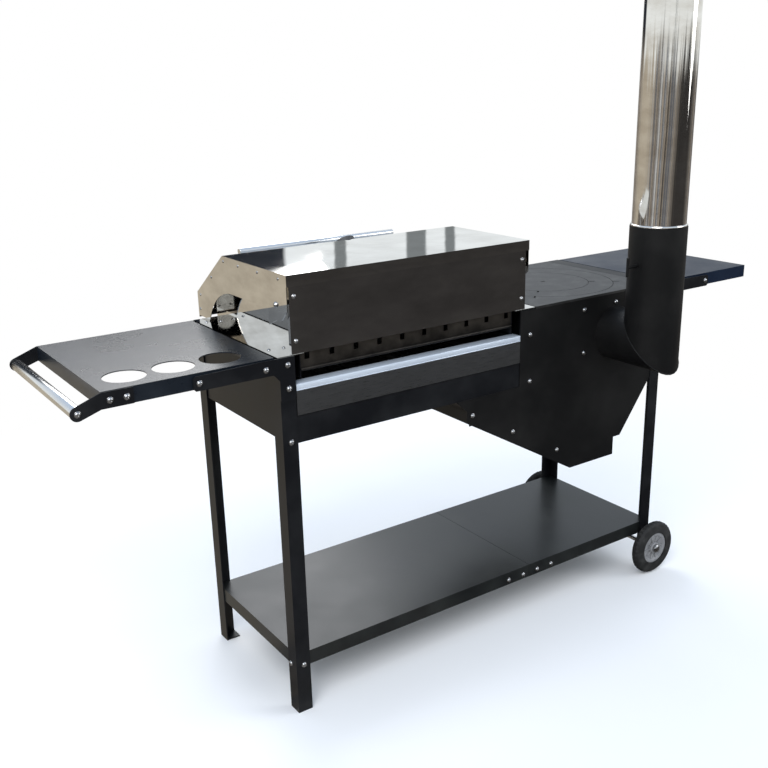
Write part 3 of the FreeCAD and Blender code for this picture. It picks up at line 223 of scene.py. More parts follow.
def heated_steel(name):
    """Sheet steel browned by the fire, darker towards the bottom."""
    material, steel = new_finish(name)
    low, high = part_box("liner_rear")[0][2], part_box("liner_rear")[1][2]
    height = steel.range(steel.axis("Z"), low, high)
    stains = steel.noise(0.035, 5.0, 0.62)
    mask = steel.range(height * 0.6 + stains * 0.8, 0.35, 0.95)
    base = steel.tint(mask, (0.014, 0.013, 0.012), (0.07, 0.061, 0.052))
    gloss = steel.range(stains, 0.3, 0.7, 0.28, 0.5)
    steel.shade(Base_Color=base, Metallic=0.85, Roughness=gloss, Normal=steel.bump(stains, 0.2, 0.0006))
    return material


def cast_iron(name, colour, dust, roughness):
    """Cast or scaled iron: sandy skin and a little grey ash."""
    material, iron = new_finish(name)
    skin = iron.noise(0.0022, 4.0, 0.7)
    patches = iron.noise(0.05, 4.0, 0.6)
    base = iron.tint(iron.range(patches, 0.45, 0.72), colour, dust)
    gloss = iron.range(patches, 0.3, 0.7, roughness, roughness + 0.15)
    iron.shade(Base_Color=base, Metallic=0.35, Roughness=gloss, Normal=iron.bump(skin, 0.4, 0.0005))
    return material


def zinc_plate(name, light=(0.50, 0.50, 0.50), shade=(0.30, 0.30, 0.31)):
    """Bright zinc on small hardware."""
    material, zinc = new_finish(name)
    frost = zinc.noise(0.0035, 3.0, 0.6)
    base = zinc.tint(zinc.range(frost, 0.35, 0.7), light, shade)
    gloss = zinc.range(frost, 0.3, 0.7, 0.16, 0.34)
    zinc.shade(Base_Color=base, Metallic=1.0, Roughness=gloss, Normal=zinc.bump(frost, 0.1, 0.0003))
    return material


def moulded(name, colour, worn, roughness, grain):
    """Moulded rubber or plastic with a fine skin and pale dust."""
    material, mould = new_finish(name)
    skin = mould.noise(grain, 3.0, 0.6)
    dust = mould.noise(0.02, 5.0, 0.65)
    base = mould.tint(mould.range(dust, 0.45, 0.75), colour, worn)
    gloss = mould.range(dust, 0.3, 0.75, roughness, roughness + 0.2)
    mould.shade(Base_Color=base, Roughness=gloss, Specular_IOR_Level=0.4,
                Normal=mould.bump(skin, 0.3, 0.0004))
    return material


# --- what the mirrors see ----------------------------------------------------------------------
def across(look, way, bearing):
    """How far a level direction lies to the left of a bearing, counted in degrees from +X."""
    turn = math.radians(bearing)
    return look.axis("Y", way) * math.cos(turn) - look.axis("X", way) * math.sin(turn)


def yard(look, place, dim_side):
    """Dark walls, warm paving and bright gaps that change with the compass direction only."""
    level = look.add("ShaderNodeVectorMath", {"operation": "MULTIPLY"}, {0: place, 1: (1, 1, 0)})
    way = look.add("ShaderNodeVectorMath", {"operation": "NORMALIZE"}, {0: level})
    streaks = look.noise(0.2, 7.0, 0.72, way)
    shade = look.tint(look.range(streaks, 0.42, 0.47), (0.03, 0.028, 0.028), (0.40, 0.35, 0.29))
    shade = look.tint(look.range(streaks, 0.50, 0.53), shade, (0.11, 0.12, 0.14))
    shade = look.tint(look.range(streaks, 0.56, 0.60), shade, (0.64, 0.64, 0.63))
    facing = look.axis("X", way) * 0.59 - look.axis("Y", way) * 0.81
    shade = look.tint(look.range(0.0 - facing, 0.7, 0.95) * 0.9, shade, (0.56, 0.50, 0.40))
    dim = look.range(facing, 0.6, 0.92)
    return look.tint(dim, shade, dim_side)


# --- shaping -----------------------------------------------------------------------------------
def towards(direction, start):
    """The matrix that turns +Z to a direction and moves the origin to a point."""
    turn = Vector((0, 0, 1)).rotation_difference(Vector(direction).normalized())
    return Matrix.Translation(start) @ turn.to_matrix().to_4x4()


def lathe(bm, profile, matrix, steps=48):
    """Spin a profile of (radius, height) points round the matrix's Z axis."""
    ring = [bm.verts.new((radius, 0.0, height)) for radius, height in profile]
    edges = [bm.edges.new(pair) for pair in zip(ring, ring[1:])]
    if profile[0][0] > 0 and profile[0] != profile[-1]:
        edges.append(bm.edges.new((ring[-1], ring[0])))
    spun = bmesh.ops.spin(bm, geom=ring + edges, cent=(0, 0, 0), axis=(0, 0, 1), dvec=(0, 0, 0),
                          angle=math.tau, steps=steps, use_merge=True, use_duplicate=False)
    last = [item for item in spun["geom_last"] if isinstance(item, bmesh.types.BMVert)]
    faces = {face for vert in last for face in vert.link_faces}
    todo, part = list(faces), set(faces)
    while todo:
        for edge in todo.pop().edges:
            for face in edge.link_faces:
                if face not in part:
                    part.add(face)
                    todo.append(face)
    verts = list({vert for face in part for vert in face.verts})
    bmesh.ops.remove_doubles(bm, verts=verts, dist=1e-6)
    verts = [vert for vert in verts if vert.is_valid]
    bmesh.ops.transform(bm, matrix=matrix, verts=verts)
    return verts


def soften(bm, made, offset):
    """Round every edge of a shape just made."""
    edges = list({edge for vert in made["verts"] for edge in vert.link_edges})
    bmesh.ops.bevel(bm, geom=edges, offset=offset, offset_type="OFFSET", affect="EDGES", segments=2,
                    profile=0.5, material=-1, clamp_overlap=True)


def hexagon(bm, matrix, radius, height, chamfer=0.7 * MM):
    """A nut with softened corners."""
    made = bmesh.ops.create_cone(
        bm, cap_ends=True, segments=6, radius1=radius, radius2=radius, depth=height,
        matrix=matrix @ Matrix.Translation((0, 0, height / 2)))
    soften(bm, made, chamfer)


def bar(bm, matrix, size):
    """A box of a size, centred on a matrix."""
    shape = matrix @ Matrix.Diagonal((*size, 1))
    return bmesh.ops.create_cube(bm, size=1.0, matrix=shape)


def block(bm, low, high, chamfer):
    """A box between two corners, with its edges softened."""
    low, high = Vector(low), Vector(high)
    soften(bm, bar(bm, Matrix.Translation((low + high) / 2), high - low), chamfer)


def rounded_rod(start, end, radius, soft):
    """The profile and the matrix of a bar between two points with softened ends."""
    run = end - start
    length, nip = run.length, soft * 0.3
    profile = [(0.0, 0.0), (radius - soft, 0.0), (radius - nip, nip), (radius, soft),
               (radius, length - soft), (radius - nip, length - nip), (radius - soft, length),
               (0.0, length)]
    return profile, towards(run, start)


def add_rod(bm, start, end, radius, soft, steps):
    """Put a softened bar between two points into a bmesh."""
    profile, matrix = rounded_rod(start, end, radius, soft)
    lathe(bm, profile, matrix, steps)


def finish_piece(name, bm, body, material, replaced=(), sharp=32.0):
    """Turn a bmesh into a piece of the cart that rides on a body."""
    bmesh.ops.recalc_face_normals(bm, faces=bm.faces)
    for face in bm.faces:
        face.smooth = True
    for edge in bm.edges:
        if len(edge.link_faces) == 2 and edge.calc_face_angle(0.0) > math.radians(sharp):
            edge.smooth = False
    mesh = bpy.data.meshes.new(name)
    bm.to_mesh(mesh)
    bm.free()
    piece = bpy.data.objects.new(name, mesh)
    bpy.context.scene.collection.objects.link(piece)
    mesh.materials.append(material)
    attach(piece, body)
    if replaced:
        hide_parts(*replaced)
    return piece


def coat_node(node, material):
    """Give a CAD node its finish."""
    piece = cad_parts[node]
    piece.data.materials.clear()
    piece.data.materials.append(material)


# --- settings ----------------------------------------------------------------------------------
class CartLooks(bpy.types.PropertyGroup):
    """What a user of the cart would change."""

    coat_colour: bpy.props.FloatVectorProperty(
        name="Coat Colour", description="Colour of the powder coat", subtype="COLOR", size=3,
        default=(0.0048, 0.0052, 0.0066), min=0.0, max=1.0)
    dust_colour: bpy.props.FloatVectorProperty(
        name="Dust Colour", description="Colour of dust on the powder coat", subtype="COLOR", size=3,
        default=(0.017, 0.018, 0.0195), min=0.0, max=1.0)
    steel_colour: bpy.props.FloatVectorProperty(
        name="Steel Colour", description="Colour of the polished sheet", subtype="COLOR", size=3,
        default=(0.80, 0.79, 0.77), min=0.0, max=1.0)
    coat_roughness: bpy.props.FloatProperty(
        name="Coat Roughness", description="How dull the powder coat is", default=0.30, min=0.0, max=1.0,
        subtype="FACTOR")
    tread_grooves: bpy.props.IntProperty(
        name="Tread Grooves", description="Number of grooves across each tyre", default=36, min=12,
        max=72)
    bolt_dome: bpy.props.FloatProperty(
        name="Bolt Dome", description="Radius of a bolt's head", default=0.0064, min=0.003, max=0.0065,
        unit="LENGTH")


PANEL_DOME = 4.8 * MM
finishes = {}


class CART_OT_finishes(bpy.types.Operator):
    """Mix the cart's finishes and put them on its sheet-metal nodes"""

    bl_idname = "cart.finishes"
    bl_label = "Finishes"

    def execute(self, context):
        looks = context.scene.cart_looks
        coat, dust = tuple(looks.coat_colour), tuple(looks.dust_colour)
        steel = tuple(looks.steel_colour)
        finishes.update({
            "coat": black_coat("black_powder_coat", coat, dust, looks.coat_roughness),
            "top": black_coat("glossy_table_top", (0.0065, 0.0095, 0.0145), (0.018, 0.023, 0.03),
                              looks.coat_roughness - 0.06, coat=0.08, shine=0.26),
            "deck": black_coat("navy_table_top", (0.0035, 0.009, 0.023), (0.006, 0.013, 0.029),
                               looks.coat_roughness, coat=0.0, shine=0.12),
            "strip": black_coat("dark_edge_strip", coat, dust, 0.36, coat=0.0, shine=0.1),
            "shelf": black_coat("shelf_powder_coat", (0.008, 0.009, 0.0092), (0.022, 0.025, 0.0235),
                                looks.coat_roughness, coat=0.1, shine=0.32),
            "stove": black_coat("black_stove_paint", (0.004, 0.004, 0.0042), (0.012, 0.0115, 0.011),
                                0.42, 0.0016, 0.0, 0.2),
            "hob": cast_iron("blackened_hob_plate", (0.019, 0.0185, 0.018), (0.04, 0.039, 0.038), 0.42),
            "mirror": mirror_steel("mirror_sheet", steel, (0.62, 0.605, 0.58), 0.028, 0.05),
            # The hood's rear panel is the lid's polished sheet with a darker base colour: painted shade
            # standing in for the dark paving it reflects.
            "panel": mirror_steel("mirror_panel_painted_shade", (0.70, 0.69, 0.68), (0.52, 0.51, 0.50),
                                  0.06, 0.08),
            "pipe": mirror_steel("mirror_pipe", steel, (0.62, 0.59, 0.55), 0.05, 0.1),
            "brushed": brushed_steel("brushed_drawer_front", (0.27, 0.28, 0.295), (0.215, 0.22, 0.23)),
            # The drawer lip's pale blue-white base colour is a painted reflection of the sky.
            "lip": brushed_steel("drawer_lip_painted_reflection", (0.70, 0.78, 0.88), (0.56, 0.63, 0.72),
                                 roughness=0.36, metal=0.45),
            "bars": brushed_steel("grate_bars", (0.5, 0.49, 0.47), (0.3, 0.29, 0.28),
                                  (1.0, 0.03, 1.0), 0.32),
            "tube": brushed_steel("polished_grip_tube", (0.82, 0.82, 0.81), (0.66, 0.66, 0.66),
                                  (1.0, 0.05, 1.0), 0.15),
            "heated": heated_steel("fire_browned_sheet"),
            "iron": cast_iron("cast_iron_grate", (0.03, 0.028, 0.026), (0.12, 0.115, 0.11), 0.6),
            "zinc": zinc_plate("zinc_hardware"),
            "tyre": moulded("tyre_rubber", (0.010, 0.010, 0.010), (0.035, 0.034, 0.032), 0.62, 0.0009),
            "hub": moulded("grey_hub_plastic", (0.20, 0.20, 0.205), (0.27, 0.27, 0.27), 0.4, 0.0014),
            "rim": moulded("dark_dial_case", (0.05, 0.05, 0.052), (0.09, 0.09, 0.09), 0.45, 0.0014),
        })
        dressed = {
            "coat": [
                "leg_rear_left", "leg_front_left", "leg_rear_right", "leg_front_right",
                "brazier_rear_wall", "brazier_front_wall", "brazier_end_left", "brazier_end_right",
                "arm_rear_left", "arm_front_left", "arm_rear_right", "arm_front_right",
                "brazier_floor", "shelf_joiners", "handle_brackets",
            ],
            "top": ["left_table_top"],
            "strip": ["stove_edge_strip"],
            "deck": ["right_table_top"],
            "shelf": ["shelf_left", "shelf_right"],
            "stove": ["stove_rear_wall", "stove_front_wall", "stove_right_side", "hopper_left",
                      "stove_door", "ash_drawer", "damper_spindle", "flue_elbow"],
            "hob": ["hob_plate", "hob_ring", "hob_disc"],
            "mirror": ["lid_skin", "lid_end_left", "lid_end_right", "wing_left", "wing_right"],
            "panel": ["hood_rear_panel"],
            "brushed": ["charcoal_drawer"],
            "bars": ["cooking_grate_left", "cooking_grate_right"],
            "heated": ["liner_rear", "liner_front"],
            "iron": ["fire_grate", "charcoal_grate", "damper_flap"],
            "zinc": ["axle", "lid_pivots", "hook_rail"],
        }
        for finish, nodes in dressed.items():
            for node in nodes:
                coat_node(node, finishes[finish])
        return {"FINISHED"}


class CART_OT_wheels(bpy.types.Operator):
    """Build the two wheels: grooved tyre, ribbed hub and axle caps"""

    bl_idname = "cart.wheels"
    bl_label = "Wheels"
    rows = 4
    groove_depth = 2.2 * MM
    shoulder = 4.5 * MM
    ribs = 10
    rib_size = (21 * MM, 7.5 * MM, 2.8 * MM)
    rib_middle = 25 * MM
    cap_height = 9 * MM

    def execute(self, context):
        grooves = context.scene.cart_looks.tread_grooves
        for side in ("rear", "front"):
            self.tyre(side, grooves)
            self.hub(side)
        self.caps()
        return {"FINISHED"}

    @staticmethod
    def measure(node):
        """A wheel part's centre, radius and half width."""
        low, high = corners(node)
        return (low + high) / 2, (high.z - low.z) / 2, (high.y - low.y) / 2

    @staticmethod
    def mirrored(profile):
        """A profile with its own mirror image, which closes it."""
        return profile + [(place, -height) for place, height in reversed(profile)]

    def tyre(self, side, grooves):
        centre, radius, half = self.measure(f"tyre_{side}")
        inner = self.measure(f"hub_{side}")[1]
        wall = [(inner, -half), (inner + 4 * MM, -half), (inner + 6 * MM, MM - half),
                (radius - 12 * MM, MM - half), (radius - 6 * MM, 3 * MM - half)]
        tread = [(radius - deep * MM, -across * MM)
                 for deep, across in ((1.4, 4.5), (3, 3.5), (3, 1.8), (1.4, 1))]
        edge = [(radius - self.groove_depth, 7 * MM - half)]
        bm = bmesh.new()
        profile = self.mirrored(wall + edge + tread)
        verts = lathe(bm, profile, towards((0, 1, 0), centre), grooves * self.rows)
        for vert in verts:
            self.press_groove(vert, centre, radius, grooves)
        finish_piece(f"grooved_tyre_{side}", bm, f"wheel_{side}", finishes["tyre"],
                     (f"tyre_{side}",), 40)

    def press_groove(self, vert, centre, radius, grooves):
        """Sink every fourth row of the shoulder, so that the tread has lugs."""
        out = Vector((vert.co.x - centre.x, 0, vert.co.z - centre.z))
        if out.length < radius - self.shoulder:
            return
        turn = math.atan2(out.z, out.x) / math.tau
        if round(turn * grooves * self.rows) % self.rows == 0:
            vert.co -= out.normalized() * self.groove_depth

    def hub(self, side):
        centre, radius, half = self.measure(f"hub_{side}")
        face = half - 3 * MM
        boss = [(6.2 * MM, -half), (14.5 * MM, -half), (16 * MM, 1.5 * MM - half),
                (16.5 * MM, 6 * MM - face)]
        rim = [(radius - inset * MM, up * MM - face)
               for inset, up in ((12, 4), (9, 1.2), (7.5, 0), (1, 0), (0, 1))]
        bm = bmesh.new()
        lathe(bm, self.mirrored(boss + rim), towards((0, 1, 0), centre), 72)
        for number in range(self.ribs):
            angle = math.tau * number / self.ribs
            turn = Matrix.Translation(centre) @ Matrix.Rotation(angle, 4, "Y")
            for way in (-1, 1):
                place = Matrix.Translation((self.rib_middle, way * (face - 4.5 * MM), 0))
                soften(bm, bar(bm, turn @ place, self.rib_size), 0.7 * MM)
        finish_piece(f"ribbed_hub_{side}", bm, f"wheel_{side}", finishes["hub"],
                     (f"hub_{side}",), 30)

    def caps(self):
        bm = bmesh.new()
        low, high = corners("axle_caps")
        radius = (high.z - low.z) / 2
        dome = [(0.0, 0.0), (radius, 0.0), (radius, 3 * MM), (radius * 0.94, 5.5 * MM),
                (radius * 0.75, 7.5 * MM), (radius * 0.42, 8.7 * MM), (0.0, self.cap_height)]
        for way, place in ((-1, low.y), (1, high.y)):
            start = Vector(((low.x + high.x) / 2, place - way * self.cap_height, (low.z + high.z) / 2))
            lathe(bm, dome, towards((0, way, 0), start), 40)
        finish_piece("domed_axle_caps", bm, "frame", finishes["zinc"], ("axle_caps",))


INWARD, OUTWARD, DOWN, RIGHTWARD = (0, 1, 0), (0, -1, 0), (0, 0, -1), (1, 0, 0)


def facing_pair(x, z, proud, grip):
    """The seats of one bolt at the rear and one at the front, each so far outside the legs."""
    depth = DEPTH / MM
    return [((x, -proud, z), INWARD, grip), ((x, depth + proud, z), OUTWARD, grip)]


class CART_OT_bolts(bpy.types.Operator):
    """Build every domed bolt, nut and screw of the cart"""

    bl_idname = "cart.bolts"
    bl_label = "Bolts"
    leg_middle = 19.8
    wall_screws = ((872, 816), (876, 703), (986, 820), (1092, 703), (1096, 816), (510, 612), (639, 542),
                   (792, 457))
    lid_rivet_places = ((30, 1003), (120, 1003), (210, 1003), (282, 1003), (352, 957), (420, 905),
                        (427, 870))

    def execute(self, context):
        dome = context.scene.cart_looks.bolt_dome
        bm = bmesh.new()
        for seat, way, grip in self.frame_seats():
            self.bolt(bm, spot(*seat), way, grip * MM, dome)
        finish_piece("frame_domed_bolts", bm, "frame", finishes["zinc"], ("frame_bolts",))
        bm = bmesh.new()
        for seat, way, grip in self.hood_seats():
            self.screw(bm, spot(*seat), way, grip * MM)
        for x in (43, 657):
            for z in (970, 877):
                self.bolt(bm, spot(x, 0, z), INWARD, 4 * MM, PANEL_DOME, nut=False)
        finish_piece("hood_domed_screws", bm, "frame", finishes["zinc"], ("hood_screws",))
        bm = bmesh.new()
        for x in (-349, -317):
            for seat, way, grip in facing_pair(x, 832, -1, 5):
                self.bolt(bm, spot(*seat), way, grip * MM, dome)
        for seat, way, grip in facing_pair(-411, 817, -1, 15):
            self.bolt(bm, spot(*seat), way, grip * MM, dome, nut=False)
        finish_piece("handle_domed_bolts", bm, "left_table", finishes["zinc"], ("handle_bolts",))
        self.lid_rivets()
        return {"FINISHED"}

    def frame_seats(self):
        """Head seat, direction and clamped thickness, in millimetres, of each bolt of the frame."""
        span = SPAN / MM
        seats = []
        for x, wall in ((self.leg_middle, 8), (span - self.leg_middle, 6)):
            seats += facing_pair(x, 831, 3, wall) + facing_pair(x, 780, 3, wall) + facing_pair(x, 122, 0, 5)
        for x in (-30, span + 30):
            seats += facing_pair(x, 829, 3, 9.3)
        for x in (-174, span + 165):
            seats += facing_pair(x, 830, 3, 0)
        seats += facing_pair(self.leg_middle, 661, 0, 5) + [((0, 24, 121), RIGHTWARD, 5)]
        seats += facing_pair(689, 782, -1, 4) + facing_pair(691, 663, -1, 4)
        seats += [((x, 1, z), INWARD, 2) for x, z in self.wall_screws]
        for x in (637, 687, 737, 787):
            seats += facing_pair(x, 128, -3, 5)
        return seats

    @staticmethod
    def hood_seats():
        """The small screws through the feet of the hood's wings, in the same units."""
        places = [(x, y) for x in (13, 687) for y in (64, 371)]
        places += [(46, 60), (654, 60), (44, 360), (656, 360)]
        return [((x, y, 849.5), DOWN, 5) for x, y in places]

    @staticmethod
    def bolt(bm, seat, way, grip, dome, nut=True):
        """A button-head bolt with a sunk socket, and the nut behind."""
        socket = dome * 0.36
        head = [(0.0, 0.0), (dome, 0.0), (dome, 0.8 * MM), (dome * 0.93, 1.1 * MM),
                (dome * 0.9, 1.9 * MM), (dome * 0.78, 3.1 * MM), (dome * 0.6, 3.9 * MM),
                (socket, 4.4 * MM), (socket * 0.9, 2.2 * MM), (0.0, 2 * MM)]
        lathe(bm, head, towards(-Vector(way), seat), 28)
        shank = grip + (4 * MM if nut else 3 * MM)
        add_rod(bm, seat, seat + Vector(way) * shank, 2.9 * MM, 0.4 * MM, 16)
        if nut and grip > MM:
            hexagon(bm, towards(way, seat + Vector(way) * grip), 5.8 * MM, 3.4 * MM)

    @staticmethod
    def screw(bm, seat, way, grip):
        """A small domed screw."""
        head = sized([(0, 0), (4.2, 0), (4.1, 0.7), (3.4, 1.7), (2.1, 2.4), (1.3, 2.5), (1.2, 1.4),
                      (0, 1.4)])
        lathe(bm, head, towards(-Vector(way), seat), 20)
        add_rod(bm, seat, seat + Vector(way) * grip, 1.9 * MM, 0.3 * MM, 12)

    def lid_rivets(self):
        """Small rivets that hold the lid's end plates."""
        head = sized([(0, -0.4), (3.1, -0.4), (3, 0.6), (2.2, 1.4), (1.1, 1.8), (0, 1.9)])
        bm = bmesh.new()
        for y, z in self.lid_rivet_places:
            level = spot(0, y, z)
            for face, way in ((corners("lid_end_left")[0].x, -1), (corners("lid_end_right")[1].x, 1)):
                lathe(bm, head, towards((way, 0, 0), Vector((face, level.y, level.z))), 20)
        finish_piece("lid_rivets", bm, "lid", finishes["zinc"])


class CART_OT_chimney(bpy.types.Operator):
    """Build the polished chimney pipe and the weld of the flue's elbow"""

    bl_idname = "cart.chimney"
    bl_label = "Chimney"

    def execute(self, context):
        self.pipe()
        self.elbow_weld()
        return {"FINISHED"}

    @staticmethod
    def pipe():
        low, high = corners("chimney_pipe")
        centre = Vector(((low.x + high.x) / 2, (low.y + high.y) / 2, 0))
        outer, inner, bead = 64.5 * MM, 63.5 * MM, 67.8 * MM
        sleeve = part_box("flue_elbow")[1][2]

        def roll(height):
            """A rolled bead that starts at a height."""
            turn = bead - 1.2 * MM
            turns = ((outer, -0.2), (turn, 0.2), (bead, 1.6), (bead, 4.4), (turn, 5.8), (outer, 6.2))
            return [(radius, height + up * MM) for radius, up in turns]

        profile = [(inner, low.z), (outer, low.z), *roll(sleeve), *roll(high.z - 6.4 * MM),
                   (inner + 0.4 * MM, high.z - 0.2 * MM), (inner, high.z - MM)]
        bm = bmesh.new()
        lathe(bm, profile, Matrix.Translation(centre), 128)
        finish_piece("polished_chimney_pipe", bm, "chimney", finishes["pipe"],
                     ("chimney_pipe",), 50)

    @staticmethod
    def elbow_weld():
        """The uneven bead of weld along the mitre of the elbow."""
        low, high = corners("flue_elbow")
        radius = (high.x - low.x) / 2
        middle = Vector(((low.x + high.x) / 2, low.y + radius, low.z + radius))
        steps, bead, ripple = 96, 1.6 * MM, 0.16
        bm = bmesh.new()
        circle = bmesh.ops.create_circle(bm, segments=10, radius=bead, matrix=Matrix.Identity(4))
        section = list(circle["verts"])
        loops = []
        for number in range(steps):
            angle = math.tau * number / steps
            across_mitre, down = math.cos(angle), math.sin(angle)
            place = middle + Vector((across_mitre, -down, -down)) * radius
            turn = towards(Vector((-down, -across_mitre, -across_mitre)).normalized(), place)
            swell = 1.0 + ripple * math.sin(number * 2.1)
            ring = [bm.verts.new(turn @ (vert.co * swell)) for vert in section]
            loops.append([bm.edges.new(pair) for pair in zip(ring, ring[1:] + ring[:1])])
        bmesh.ops.delete(bm, geom=section, context="VERTS")
        for loop, following in zip(loops, loops[1:] + loops[:1]):
            bmesh.ops.bridge_loops(bm, edges=loop + following)
        finish_piece("elbow_weld_bead", bm, "frame", finishes["stove"])


class CART_OT_grips(bpy.types.Operator):
    """Build the push handle, the lid's handle bar and the thermometer"""

    bl_idname = "cart.grips"
    bl_label = "Grips"
    slope = Vector((0, 105, 150)).normalized()
    run = Vector((0, 150, -105)).normalized()

    def execute(self, context):
        self.push_handle()
        self.lid_handle()
        self.thermometer()
        return {"FINISHED"}

    @staticmethod
    def push_handle():
        low, high = corners("push_handle")
        start = Vector(((low.x + high.x) / 2, low.y, (low.z + high.z) / 2))
        end = start + Vector((0, high.y - low.y, 0))
        bm = bmesh.new()
        add_rod(bm, start, end, (high.x - low.x) / 2, 1.5 * MM, 64)
        finish_piece("polished_push_tube", bm, "left_table", finishes["tube"],
                     ("push_handle",))

    def lid_handle(self):
        """The lid's bar on its two flared posts."""
        low, high = corners("lid_handle")
        radius, post_reach, post_gap = 8 * MM, 56.7 * MM, 0.15
        middle = Vector(((low.x + high.x) / 2, high.y - radius, high.z - radius))
        start, end = Vector((low.x, middle.y, middle.z)), Vector((high.x, middle.y, middle.z))
        bm = bmesh.new()
        add_rod(bm, start, end, radius, 1.6 * MM, 48)
        post = sized([(0, 0), (8.5, 0), (8.5, 1.2), (6.5, 3), (4.8, 4.8), (4.8, 50), (0, 50)])
        for place in (-post_gap, post_gap):
            base = middle - self.slope * post_reach + Vector((place, 0, 0))
            lathe(bm, post, towards(self.slope, base), 32)
            add_rod(bm, base - self.slope * 8 * MM, base, 1.95 * MM, 0.3 * MM, 16)
        finish_piece("lid_bar_handle", bm, "lid", finishes["tube"], ("lid_handle",))

    def thermometer(self):
        """A round dial on a short neck, with plain ticks and a needle."""
        seat = spot(372, 287, 1015) + self.run * 38 * MM
        facing = towards(self.slope, seat)
        bm = bmesh.new()
        case = sized([(0, 5), (19, 5), (22.5, 7.2), (23.8, 11), (23.8, 16.6), (22.5, 17.8), (20.8, 17.4),
                      (20.3, 16.2), (0, 16.2)])
        lathe(bm, case, facing, 64)
        add_rod(bm, seat - self.slope * 10 * MM, seat + self.slope * 6 * MM, 1.95 * MM, 0.3 * MM, 16)
        lathe(bm, sized([(0, 0), (8.5, 0), (8.5, 2), (4.8, 3), (4.8, 5.5), (0, 5.5)]), facing, 24)
        finish_piece("thermometer_case", bm, "lid", finishes["rim"], ("lid_thermometer",))
        self.dial_marks(facing)

    @staticmethod
    def dial_marks(facing):
        bm = bmesh.new()
        ticks, tick_end, face = 21, 17.2 * MM, 16.35 * MM
        for number in range(ticks):
            angle = math.radians(-135 + 270 * number / (ticks - 1))
            length = (3.2 if number % 5 == 0 else 1.8) * MM
            tick = Matrix.Rotation(-angle, 4, "Z") @ Matrix.Translation((0, tick_end - length / 2, face))
            bar(bm, facing @ tick, (0.5 * MM, length, 0.3 * MM))
        needle = Matrix.Rotation(math.radians(120), 4, "Z") @ Matrix.Translation((0, 5.5 * MM, 16.6 * MM))
        bar(bm, facing @ needle, (0.9 * MM, 15 * MM, 0.4 * MM))
        lathe(bm, sized([(0, 16), (1.8, 16), (1.8, 17), (0, 17.2)]), facing, 16)
        finish_piece("thermometer_marks", bm, "lid", finishes["zinc"])


class CART_OT_trims(bpy.types.Operator):
    """Build the folded lip along the top of the drawer's face, whose pale blue colour is a painted sky
    reflection
    """

    bl_idname = "cart.trims"
    bl_label = "Trims"

    def execute(self, context):
        low, high = corners("charcoal_drawer")
        left, right, front, top = low.x, high.x, low.y, high.z
        bm = bmesh.new()
        block(bm, (left, front - 0.4 * MM, top - 11.8 * MM), (right, front + MM, top - 0.4 * MM), 0.5 * MM)
        block(bm, (left, front - 0.3 * MM, top - 0.6 * MM),
              (right, front + 27.8 * MM, top + 0.4 * MM), 0.3 * MM)
        fold_start = Vector((left, front + 0.8 * MM, top - 13 * MM))
        fold_end = Vector((right, fold_start.y, fold_start.z))
        add_rod(bm, fold_start, fold_end, 1.4 * MM, 0.4 * MM, 16)
        finish_piece("drawer_folded_lip", bm, "drawer", finishes["lip"])
        return {"FINISHED"}


